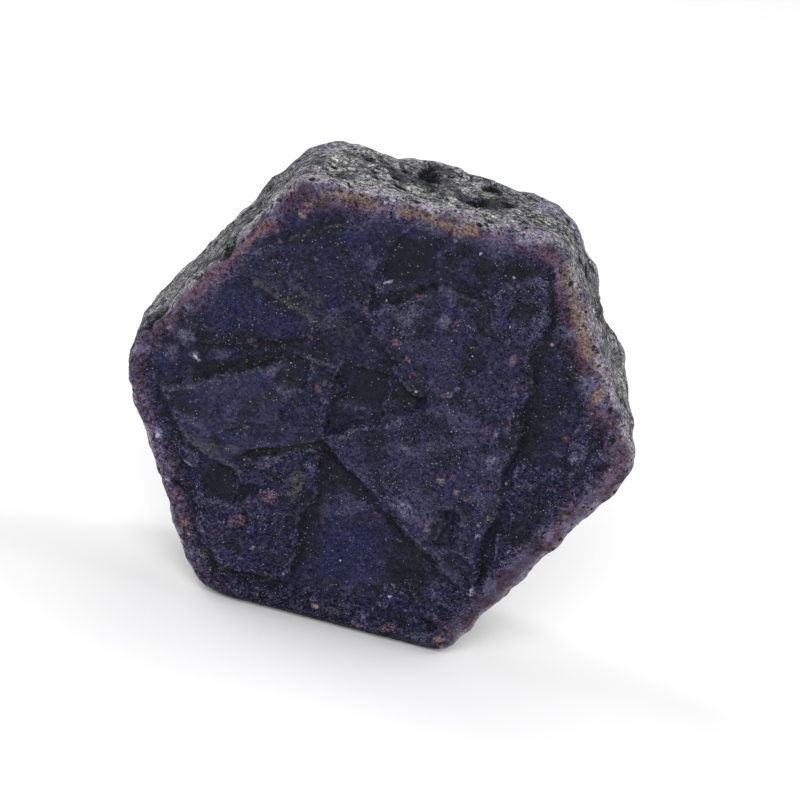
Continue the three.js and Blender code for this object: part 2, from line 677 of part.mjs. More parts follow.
const corundum = new THREE.MeshStandardMaterial({
  name: 'rough corundum',
  color: 0x2b2a4a,
  roughness: 0.6,
  metalness: 0,
});

const geometry = crystalGeometry();
geometry.computeBoundingBox();
const box = geometry.boundingBox;
geometry.translate(-(box.min.x + box.max.x) / 2, -(box.min.y + box.max.y) / 2, -box.min.z);
geometry.computeVertexNormals();

const crystal = new THREE.Mesh(geometry, corundum);
crystal.name = 'sapphire_crystal';

const group = new THREE.Group();
group.add(crystal);

export default group;
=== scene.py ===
import math

import bpy
import numpy as np
from mathutils import Matrix


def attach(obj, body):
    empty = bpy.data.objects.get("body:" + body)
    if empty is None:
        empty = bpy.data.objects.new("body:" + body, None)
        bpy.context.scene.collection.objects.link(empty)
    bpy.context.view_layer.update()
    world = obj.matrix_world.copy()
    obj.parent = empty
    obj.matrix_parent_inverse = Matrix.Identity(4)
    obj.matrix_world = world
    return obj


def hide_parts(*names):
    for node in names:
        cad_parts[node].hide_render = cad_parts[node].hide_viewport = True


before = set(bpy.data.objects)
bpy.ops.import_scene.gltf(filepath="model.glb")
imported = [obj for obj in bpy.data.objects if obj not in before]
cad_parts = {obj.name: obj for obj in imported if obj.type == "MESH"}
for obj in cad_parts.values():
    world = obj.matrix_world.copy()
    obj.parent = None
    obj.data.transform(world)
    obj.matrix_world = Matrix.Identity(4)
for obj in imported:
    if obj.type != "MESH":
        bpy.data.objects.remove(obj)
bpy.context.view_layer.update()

bl_info = {
    "name": "Rough sapphire",
    "version": (1, 0, 0),
    "blender": (4, 5, 0),
    "location": "3D View > Sidebar > Sapphire",
    "description": "Grows the skin of a rough six-sided sapphire crystal and sets its stage",
    "category": "Mesh",
}

MM = 0.001
NODE = "sapphire_crystal"
MOST_TRIANGLES = 200_000

# ---- Driving sizes, in millimetres, as in the solid -------------------------------------------

# Corners of the hexagon, clockwise as the front face is seen: x, z, and the radius worn on the
# corner at the front rim and at the back rim. Side 0 runs from the left corner to the upper left
# one, side 1 is the top, and the crystal rests on side 4.
CORNERS = np.array([
    [-29.0, 24.8, 6.8, 3.2],
    [-14.3, 49.3, 2.5, 5.8],
    [14.2, 49.2, 3.2, 8.6],
    [28.1, 26.9, 3.4, 8.6],
    [13.1, 0.0, 3.6, 3.6],
    [-15.0, 0.0, 7.0, 3.2],
])
SIDES = 6
RESTING_SIDE = 4
CENTRE = np.array([0.0, 25.0])
# The solid is moved by this much, so that its origin is at the bottom centre of its box.
CENTRING = np.array([0.51, -0.05, 0.0])

FRONT = -1
BACK = 1
FACE_Y = 8.8
RIM_DEPTH = 1.5
FRONT_RIM_WIDTHS = np.array([0.9, 1.3, 2.4, 1.7, 1.0, 1.2])
BACK_RIM_WIDTHS = np.array([1.5, 1.2, 1.9, 1.6, 1.5, 1.4])
# How far the prism sides wave in and out, and how far a plate's wall runs out for each
# millimetre that it falls.
WANDER = 0.3
WALL_RUN = 0.9

# Low swellings (+) and hollows (-) of the prism sides: side, distance along it, y, radius, height.
SWELLINGS = [
    (0, 5.2, -6.0, 2.6, -0.55), (0, 11.2, 4.0, 3.4, 0.3), (0, 16.5, -8.0, 2.0, -0.5),
    (0, 21.7, 6.5, 2.8, 0.32), (1, 3.4, 8.5, 2.4, 0.2), (1, 12.8, 4.0, 2.2, -0.6),
    (1, 13.8, 9.0, 3.2, 0.85), (1, 18.6, -0.8, 2.2, -0.5), (1, 8.5, 0.5, 3.0, 0.3),
    (2, 8.3, 8.4, 2.4, 0.45), (2, 12.1, 7.4, 2.2, -0.5), (2, 18.3, 8.4, 2.6, 0.5),
    (2, 23.3, 6.0, 3.0, -0.5), (3, 7.5, 1.5, 3.6, -0.5), (3, 18.5, 5.0, 3.2, 0.4),
    (3, 24.0, -4.5, 2.4, 0.3), (5, 8.2, 5.0, 3.2, -0.5), (5, 15.2, -1.0, 3.4, 0.4),
    (5, 23.7, 4.5, 2.6, -0.4),
]

# Large pits of the crust: side, distance along it, y, width along the side, length along y, depth.
PITS = [
    (1, 12.8, 3.8, 2.6, 5.6, 1.1), (1, 18.3, -1.0, 3.2, 3.8, 1.0), (1, 17.0, 7.6, 1.1, 1.2, 0.5),
    (1, 10.0, -3.3, 1.8, 1.8, 0.6), (1, 17.6, -4.8, 1.2, 1.3, 0.5), (1, 23.0, -3.9, 1.3, 1.2, 0.5),
    (1, 19.8, 4.6, 2.2, 2.6, 0.7), (1, 10.1, 4.0, 1.3, 1.8, 0.5), (1, 2.8, -2.2, 1.1, 1.3, 0.4),
    (1, 21.8, 0.2, 1.5, 1.7, 0.6), (1, 6.2, 3.6, 1.5, 2.0, 0.5), (0, 5.2, -6.4, 3.6, 4.4, 0.8),
    (0, 16.5, -7.4, 2.4, 3.6, 0.9), (0, 12.2, -5.4, 1.0, 1.4, 0.5), (0, 25.6, -3.2, 1.2, 1.6, 0.5),
    (0, 8.8, 2.0, 1.8, 3.0, 0.6), (0, 19.8, 1.0, 1.6, 2.6, 0.6), (2, 5.9, 1.6, 2.0, 2.6, 0.7),
    (2, 11.9, 5.2, 2.2, 3.4, 0.8), (2, 16.5, -0.6, 1.8, 2.4, 0.6), (2, 21.7, 2.8, 1.8, 2.2, 0.6),
    (3, 5.9, -2.0, 2.4, 3.2, 0.8), (3, 14.1, 3.4, 2.6, 2.8, 0.8), (3, 20.9, -4.0, 1.6, 2.2, 0.6),
    (5, 6.5, -1.8, 2.2, 2.8, 0.7), (5, 14.7, 4.4, 2.6, 3.0, 0.8), (5, 22.3, -2.6, 1.8, 2.4, 0.7),
]

# Growth plates: height over the face's ground, how pale the plate is, how grainy it is, and the
# outline of the plate's top in x, z. A later plate covers an earlier one.
FRONT_PLATES = {
    "upper left field": (0.45, 0.3, 0.35, [
        (-21.8, 28.6), (-16.0, 29.9), (-12.5, 31.0), (-10.2, 32.3), (-8.6, 33.9), (-5.0, 35.2),
        (-4.4, 38.6), (-4.8, 42.6), (-6.6, 45.6), (-9.6, 45.4), (-12.4, 43.2), (-15.4, 42.2),
        (-20.4, 36.6), (-23.2, 31.6)]),
    "left plate": (0.75, 0.6, 0.15, [
        (-23.4, 22.5), (-11.3, 29.3), (-10.2, 22.7), (-6.0, 24.6), (-5.9, 21.3), (-13.0, 18.4),
        (-15.3, 15.8), (-20.0, 17.8)]),
    "left plate, upper step": (1.05, 0.85, 0.08, [
        (-23.2, 22.5), (-19.8, 24.2), (-11.3, 29.2), (-11.2, 26.8), (-10.2, 26.3), (-10.6, 22.6),
        (-15.4, 20.2), (-18.6, 18.4), (-21.5, 19.8)]),
    "middle plate": (0.55, 0.42, 0.4, [(-10.6, 30.2), (-5.9, 30.2), (-5.9, 22.4), (-10.6, 22.0)]),
    "lower left plate": (0.85, 0.5, 0.75, [
        (-14.5, 16.0), (-10.6, 18.2), (-8.1, 19.8), (-5.6, 20.4), (-6.1, 13.6), (-5.7, 4.8),
        (-12.5, 4.4), (-16.5, 8.5), (-17.8, 13.0)]),
    "great right plate": (1.2, 0.68, 0.45, [
        (-5.2, 21.7), (4.0, 27.4), (8.0, 30.2), (14.0, 33.2), (13.5, 30.4), (14.7, 27.0),
        (13.7, 22.6), (14.5, 18.4), (13.0, 13.6), (14.2, 8.6), (7.6, 12.6), (3.0, 15.6),
        (2.0, 16.8)]),
    "upper right field": (0.9, 0.5, 0.4, [
        (4.0, 27.6), (7.0, 41.4), (13.0, 44.0), (14.3, 41.0), (13.4, 37.2), (14.5, 33.4),
        (13.8, 28.0)]),
    "upper plate": (0.9, 0.6, 0.4, [
        (-4.3, 36.4), (2.6, 41.5), (7.2, 41.2), (7.6, 31.0), (4.5, 29.8), (-1.2, 33.0)]),
    "top right plate": (1.15, 0.68, 0.6, [
        (7.2, 42.2), (12.6, 44.9), (13.3, 44.7), (13.8, 41.4), (13.4, 37.4), (9.4, 38.4)]),
    "lower right field": (0.6, 0.42, 0.9, [
        (15.6, 24.0), (21.4, 25.0), (22.6, 20.6), (17.2, 9.0), (14.2, 4.4), (4.8, 4.2), (4.8, 7.0),
        (10.6, 8.8), (15.4, 9.6)]),
    "right ridge": (0.5, 0.45, 0.7, [(20.6, 25.4), (21.8, 25.4), (21.8, 32.6), (20.4, 33.2)]),
}
BACK_PLATES = {
    "great plate": (1.0, 0.6, 0.2, [
        (20.6, 24.6), (2.0, 35.3), (-7.5, 34.6), (-7.0, 12.0), (-1.0, 10.8)]),
    "great plate, upper step": (1.25, 0.8, 0.15, [
        (15.4, 24.4), (1.8, 32.2), (-3.4, 31.8), (-3.2, 17.0), (1.5, 15.4)]),
    "upper plate": (0.8, 0.55, 0.45, [
        (8.4, 40.2), (-0.6, 45.4), (-12.5, 45.2), (-18.8, 36.6), (-9.6, 36.2), (-4.8, 37.2)]),
    "left plate": (0.7, 0.6, 0.3, [
        (-9.2, 22.6), (-17.4, 33.8), (-22.4, 28.4), (-21.8, 20.8), (-16.0, 14.6)]),
    "lower plate": (0.9, 0.5, 0.6, [
        (14.8, 12.0), (5.2, 9.6), (-3.0, 8.2), (-11.5, 8.0), (-11.0, 3.6), (11.2, 3.4)]),
    "right ridge": (0.55, 0.45, 0.5, [(22.6, 29.0), (17.2, 38.6), (13.4, 39.0), (19.6, 27.6)]),
}

# Grooves: width, depth as a share of GROOVE_DEPTH, and path in x, z.
FRONT_GROOVES = [
    (1.9, 0.6, [(-22.4, 24.6), (-16.0, 28.0), (-9.2, 31.2)]),
    (1.2, 0.5, [(-14.6, 17.4), (-8.0, 20.6), (-5.4, 21.0)]),
    (1.3, 0.6, [(-5.2, 21.0), (-5.1, 13.0), (-4.9, 4.6)]),
    (1.3, 0.55, [(-5.0, 21.0), (1.6, 16.6), (2.8, 14.8), (7.4, 11.8), (14.6, 7.6)]),
    (1.5, 0.5, [(15.2, 8.0), (15.1, 24.0), (15.3, 40.0), (13.9, 46.0)]),
    (1.1, 0.5, [(-5.5, 22.4), (-5.5, 30.4)]),
    (1.3, 0.5, [(-5.4, 22.6), (-2.0, 24.7), (3.6, 28.2)]),
    (1.2, 0.45, [(-15.5, 42.0), (-12.0, 43.8), (-9.0, 45.3)]),
    (1.1, 0.45, [(-4.6, 37.2), (0.0, 40.3), (2.4, 42.0)]),
    (1.4, 0.45, [(22.9, 25.4), (22.9, 31.6)]),
]
BACK_GROOVES = [
    (1.6, 0.5, [(21.4, 25.4), (2.2, 36.4), (-8.4, 35.6)]),
    (1.5, 0.5, [(-8.3, 35.0), (-8.0, 12.4)]),
    (1.3, 0.45, [(-7.4, 11.0), (-1.2, 9.8), (14.8, 14.6)]),
    (1.2, 0.4, [(-15.2, 13.6), (-8.6, 22.8)]),
]

# Sunken areas: height of the floor and its outline in x, z.
FRONT_SUNKEN = {
    "notch of the great plate": (0.1, [(8.3, 13.6), (10.4, 13.6), (10.2, 17.0), (8.5, 16.6)]),
    "smooth patch": (0.1, [
        (-17.0, 15.2), (-14.2, 15.4), (-13.3, 13.8), (-13.8, 12.2), (-16.0, 11.9), (-17.3, 13.2)]),
    "oval patch": (-0.35, [
        (-3.0, 40.6), (0.2, 40.9), (1.7, 43.2), (0.8, 46.0), (-1.8, 46.5), (-3.6, 44.0)]),
    "square hollow": (-0.4, [(-4.4, 26.4), (-0.4, 26.4), (-0.4, 30.2), (-4.4, 30.2)]),
    "dark step": (-0.3, [(0.4, 27.8), (3.6, 28.6), (3.4, 30.4), (0.2, 29.8)]),
    "corner of the middle plate": (0.15, [
        (-11.4, 26.8), (-9.3, 26.6), (-9.3, 29.8), (-11.0, 29.8)]),
    "hole by the smooth patch": (-0.1, [
        (-13.2, 13.9), (-11.9, 13.9), (-11.9, 12.5), (-13.2, 12.5)]),
    "hollow of the top right plate": (0.75, [
        (10.3, 40.2), (12.3, 39.9), (12.4, 41.9), (10.6, 42.0)]),
    "lower step of the great plate": (0.75, [
        (10.4, 13.0), (13.4, 11.8), (13.4, 9.8), (10.8, 10.2)]),
}
BACK_SUNKEN = {
    "notch": (0.2, [(-6.2, 26.0), (-2.2, 24.6), (-2.4, 21.4), (-6.0, 21.8)]),
}

# Knobs and shallow domes: x, z, radius, height of what one stands on, its own height.
FRONT_KNOBS = [
    (3.8, 38.3, 1.4, 0.9, 0.45), (4.0, 33.2, 2.9, 0.9, 0.35), (9.5, 28.3, 2.9, 1.1, 0.35),
    (-7.0, 27.5, 1.4, 0.55, 0.35), (-7.2, 15.0, 1.7, 0.85, 0.35), (-10.4, 11.6, 1.5, 0.85, 0.3),
    (-13.8, 8.4, 1.8, 0.85, 0.3), (7.0, 15.4, 1.7, 1.2, 0.3), (12.2, 19.4, 1.8, 1.2, 0.3),
    (21.6, 20.2, 1.1, 0.6, 0.35), (13.4, 5.6, 1.7, 0.55, 0.3), (-1.2, 3.4, 1.9, 0.0, 0.35),
    (-18.6, 15.2, 1.2, 0.0, 0.6), (24.0, 27.4, 1.3, 0.0, 0.35),
]
BACK_KNOBS = [
    (6.2, 24.4, 2.6, 1.25, 0.35), (-13.6, 40.8, 2.2, 0.8, 0.35), (-16.4, 24.4, 2.4, 0.7, 0.4),
    (2.0, 6.0, 1.6, 0.9, 0.35), (14.6, 36.0, 1.5, 0.55, 0.35),
]

# How far the coarse, weathered margin reaches in from the rim on each basal face, side by side.
FRONT_MARGINS = np.array([1.2, 1.0, 3.4, 6.0, 5.0, 5.0])
BACK_MARGINS = np.array([3.5, 3.0, 4.0, 3.0, 4.5, 3.0])
# How far the bare, lilac border of the crust reaches over the prism sides from the front and the
# back rim, side by side.
FRONT_BORDERS = np.array([1.0, 1.9, 2.9, 2.2, 0.4, 0.8])
BACK_BORDERS = np.array([0.9, 0.7, 1.1, 0.9, 0.4, 0.8])
# How strongly the worn rims are bleached, side by side. The resting side's low value is painted
# shade: its rim faces the floor and is kept dark.
FRONT_BLEACH = np.array([1.15, 0.95, 1.05, 1.45, 0.1, 0.85])
BACK_BLEACH = np.array([0.6, 0.4, 0.6, 0.4, 0.1, 0.4])

# What each basal face is made from, and the seed of its noise.
FACES = {
    FRONT: (FRONT_PLATES, FRONT_GROOVES, FRONT_SUNKEN, FRONT_KNOBS, FRONT_MARGINS, 100),
    BACK: (BACK_PLATES, BACK_GROOVES, BACK_SUNKEN, BACK_KNOBS, BACK_MARGINS, 500),
}

# Waves that make edges wander: size and height of each, in millimetres.
OUTLINE_WAVES = ((2.2, 0.24), (0.8, 0.14))
PLATE_WAVES = ((4.0, 0.10), (1.4, 0.05))
PIT_WAVES = ((1.1, 0.30), (0.5, 0.16))
CRUST_WAVES = ((1.6, 0.35), (0.6, 0.20))
FACE_STAIN_WAVES = ((1.7, 0.30), (0.6, 0.16))
SIDE_STAIN_WAVES = ((1.5, 0.35), (0.6, 0.20))

# Slow waves of the prism sides: strength, waves on the way round and along y, and their start.
SIDE_WAVES = (
    (1.0, 0.83, 0.31, 0.4), (0.8, 1.37, -0.62, 2.1), (0.7, 0.47, 1.13, 4.0), (0.5, 2.3, 0.9, 1.3),
)

# Layered lumps and ragged edges: size and height in millimetres, seed, number of layers, and how
# much weaker each layer is than the last, where that isn't as usual.
LUMPS = {
    "ground": (6.0, 0.18, 4, 4),
    "ragged margin": (2.4, 1.4, 20, 3),
    "patchy grain": (3.4, 0.22, 24, 3),
    "wax": (1.7, 0.13, 70, 3),
    "broad wax": (3.6, 0.16, 74, 2),
    "rim width": (3.0, 0.25, 20, 3),
    "border": (2.6, 1.6, 64, 3),
    "crust": (2.4, 0.14, 310, 4, 0.65),
    "dents": (3.0, 0.10, 350, 3),
}

# Three-sided growth steps of the basal faces, grains in them and flakes of the crust: size and
# height.
GROWTH_STEPS = ((6.0, 0.13), (3.0, 0.08), (1.5, 0.05))
GRAINS = (0.80, 0.15)
FLAKES = (0.95, 0.13)

# Small pits: size of the cells that hold one each, the luck a cell needs to have its pit, the
# distances from the middle where the pit is still full and where it ends, and its depth.
FACE_PITS = (1.9, 0.70, 0.15, 0.60, 0.10)
CRUST_HOLES = (1.5, 0.66, 0.15, 0.58, 0.40)
CRUST_PRICKS = (0.85, 0.72, 0.10, 0.40, 0.22)
# How much less luck is needed in the patchy zones, and how much deeper pits are in coarse grain.
PATCHY_LUCK = 0.3
GRAINY_DEPTH = 0.14

# How far a pit or a stain on a prism side reaches in and out of it.
SIDE_REACH = 2.5
# The front edge of the resting side lies this far clear of the floor, lifted over this stretch
# of y.
EDGE_LIFT = 0.5
EDGE_LIFT_FADE = (-9.6, -6.8)

# Basal faces: how pale and how grainy the ground is and how grainy the margin, the depth of the
# grooves, how round the edges and the feet of the knobs are, how far a plate dips towards its
# edge, the mean height of the growth steps, and size and height of the grit in the grain.
GROUND_TONE = 0.28
GROUND_GRAIN = 0.3
MARGIN_GRAIN = 0.95
GROOVE_DEPTH = 0.15
EDGE_ROUND = 0.14
KNOB_ROUND = 0.08
PLATE_DIP = 0.10
MEAN_STEP = 0.10
GRIT = (0.6, 0.06)
# Prism sides: the size of the patches with more pits, the stretch before a corner in which the
# waves die out, how high the crust stands over the plain prism, how deep small pits are on the
# resting side beside elsewhere, and the depth of pit that counts as full in its mask.
PIT_PATCHES = 4.5
WAVE_MARGIN = 1.5
CRUST_RISE = 0.04
RESTING_PITS = 0.3
FULL_PIT = 0.5
# How wide the worn rim looks, where its border starts behind it, and how strongly and how far the
# side's relief laps onto a basal face.
RIM_GLOW = 1.1
BORDER_START = 0.6
LAP = 0.35
LAP_WIDTH = 1.2

# Where things set in and end: millimetres beyond an outline...
DIP_FADE = (-1.2, 0.0)
PLATE_FADE = (-0.25, 0.45)
SUNKEN_FADE = (-0.3, 0.4)
FIELD_FADE = (-0.9, 0.55)
# ... millimetres in from the rim of a face, or along y...
RELIEF_FADE = (-0.4, 1.6)
FRONT_STAIN_FADE = (-7.6, -5.6)
BACK_STAIN_FADE = (6.0, 7.6)
# ... and shares of the reach of the margin, of a pit, a spot, a stain or the border, values of
# the noise of the pit patches, and sines of the bend round the rim.
MARGIN_FADE = (0.35, 1.15)
PIT_FADE = (0.40, 1.15)
SPOT_FADE = (0.30, 1.40)
SIDE_SPOT_FADE = (0.4, 1.3)
BORDER_FADE = (0.5, 1.3)
PATCH_FADE = (-0.25, 0.35)
CRUST_FADE = (0.35, 1.0)
RIM_FADE = (0.75, 1.0)

# ---- Stains, inclusions, painted shade and painted highlights ---------------------------------

# Fields of the front face: strength and outline in x, z.
FRONT_FIELDS = {
    # Most dark fields are painted shade, at the feet of plate walls, in grooves and in sunken
    # areas; the rest are charcoal patches of the stone.
    "dark": [
        (0.75, [(-21.5, 27.2), (-15.0, 29.0), (-10.0, 30.6), (-9.6, 31.8), (-12.6, 31.6),
            (-15.2, 30.6), (-21.3, 29.2)]),
        (0.85, [(-21.0, 24.4), (-16.0, 26.8), (-11.2, 29.2), (-9.4, 29.0), (-9.4, 30.8),
            (-12.6, 30.0), (-16.6, 28.2), (-21.6, 26.0)]),
        (0.8, [(-11.3, 26.7), (-9.3, 26.5), (-9.4, 29.2), (-11.0, 29.3)]),
        (0.45, [(-24.0, 23.6), (-20.6, 24.4), (-18.0, 27.6), (-21.0, 28.6), (-24.6, 27.4)]),
        (0.75, [(-4.6, 40.8), (-0.6, 40.6), (1.6, 42.6), (0.6, 46.0), (-2.6, 46.2), (-4.2, 44.6)]),
        (0.55, [(1.6, 42.0), (6.6, 39.6), (7.2, 42.0), (4.0, 43.6), (1.4, 44.0)]),
        (0.8, [(-4.4, 26.2), (-0.2, 26.6), (0.4, 30.0), (-1.0, 32.4), (-4.3, 30.4)]),
        (1.0, [(-0.4, 27.3), (3.6, 28.3), (3.5, 29.9), (0.4, 29.6)]),
        (0.9, [(14.3, 24.6), (16.6, 25.2), (17.6, 28.0), (16.6, 32.8), (14.4, 33.0)]),
        (0.55, [(16.6, 25.0), (18.8, 26.4), (18.8, 32.6), (16.6, 33.2)]),
        (0.45, [(15.2, 33.0), (20.4, 32.6), (19.4, 36.6), (17.4, 39.6), (15.4, 39.2)]),
        (0.8, [(22.3, 27.6), (24.0, 27.4), (24.0, 31.2), (22.6, 31.4)]),
        (0.9, [(-17.0, 15.4), (-14.0, 15.6), (-12.8, 13.6), (-13.6, 11.8), (-16.2, 11.9),
            (-17.3, 13.4)]),
        (1.0, [(-6.6, 21.2), (-5.2, 21.6), (-3.0, 20.0), (-2.0, 18.8), (-2.8, 16.2), (-4.8, 15.6),
            (-5.6, 18.8)]),
        (0.8, [(-5.8, 15.8), (-3.6, 16.0), (-4.0, 10.0), (-4.2, 5.2), (-5.5, 5.2)]),
        (0.95, [(-2.6, 19.3), (0.0, 17.8), (1.9, 16.7), (1.7, 15.6), (-0.6, 15.9), (-2.8, 16.8)]),
        (0.85, [(2.4, 15.2), (4.6, 15.2), (6.8, 12.9), (5.4, 12.6), (2.9, 13.6)]),
        (0.9, [(4.5, 12.8), (6.2, 12.2), (8.4, 10.8), (6.4, 10.8), (4.6, 10.2)]),
        (0.7, [(4.5, 10.8), (8.8, 10.6), (9.8, 8.2), (9.0, 6.6), (5.0, 6.6), (4.4, 8.2)]),
        (0.85, [(8.2, 16.9), (9.9, 17.0), (10.2, 15.8), (8.6, 13.6), (8.1, 14.0)]),
        (0.75, [(10.0, 13.2), (11.6, 12.6), (13.4, 11.4), (13.4, 9.9), (10.6, 10.2)]),
        (0.65, [(14.4, 17.8), (19.0, 18.0), (20.6, 15.8), (19.8, 14.6), (15.0, 15.0)]),
        (0.45, [(7.7, 25.0), (9.2, 25.0), (9.8, 22.4), (8.4, 21.6), (7.8, 22.4)]),
        (0.55, [(0.2, 21.8), (1.4, 22.1), (2.8, 21.2), (1.6, 20.4), (0.2, 20.8)]),
    ],
    "blue": [
        (0.75, [(-3.2, 13.6), (2.2, 13.0), (4.2, 9.8), (3.6, 5.6), (-3.4, 5.2)]),
        (0.7, [(-20.0, 36.0), (-9.6, 34.4), (-10.6, 31.9), (-21.4, 30.4)]),
        (0.6, [(-11.4, 7.0), (-6.2, 7.0), (-6.2, 5.0), (-11.2, 4.8)]),
        (0.5, [(-6.6, 48.0), (8.8, 47.6), (8.6, 46.2), (-6.0, 45.6)]),
        (0.5, [(-22.0, 23.2), (-17.0, 24.0), (-15.6, 21.4), (-21.4, 21.0)]),
        (0.5, [(-4.8, 22.0), (-1.0, 23.8), (0.6, 20.0), (-1.8, 20.0)]),
        (0.45, [(4.6, 6.4), (10.4, 6.4), (11.4, 3.2), (3.6, 3.4)]),
        (0.4, [(15.6, 37.4), (20.2, 34.6), (20.8, 31.6), (16.4, 33.2)]),
    ],
    "olive": [
        (0.35, [(-16.2, 38.6), (-13.8, 39.2), (-11.0, 37.6), (-9.4, 35.6), (-9.2, 34.4),
            (-11.6, 34.6), (-14.2, 35.8), (-16.4, 37.0)]),
        (0.5, [(-9.6, 35.6), (-5.4, 35.8), (-4.6, 33.0), (-8.6, 32.8)]),
    ],
    "lilac": [
        (0.35, [(-22.6, 20.6), (-17.6, 18.0), (-16.6, 19.0), (-18.4, 20.4), (-21.4, 21.4)]),
        (0.45, [(2.2, 17.4), (5.4, 18.0), (7.4, 16.0), (7.6, 13.8), (5.4, 14.6), (3.0, 15.6)]),
        (0.35, [(9.4, 24.8), (13.6, 25.8), (13.6, 22.4), (12.2, 22.6)]),
        (0.4, [(-2.8, 37.2), (1.4, 39.9), (1.8, 37.6), (-0.6, 35.8)]),
    ],
}

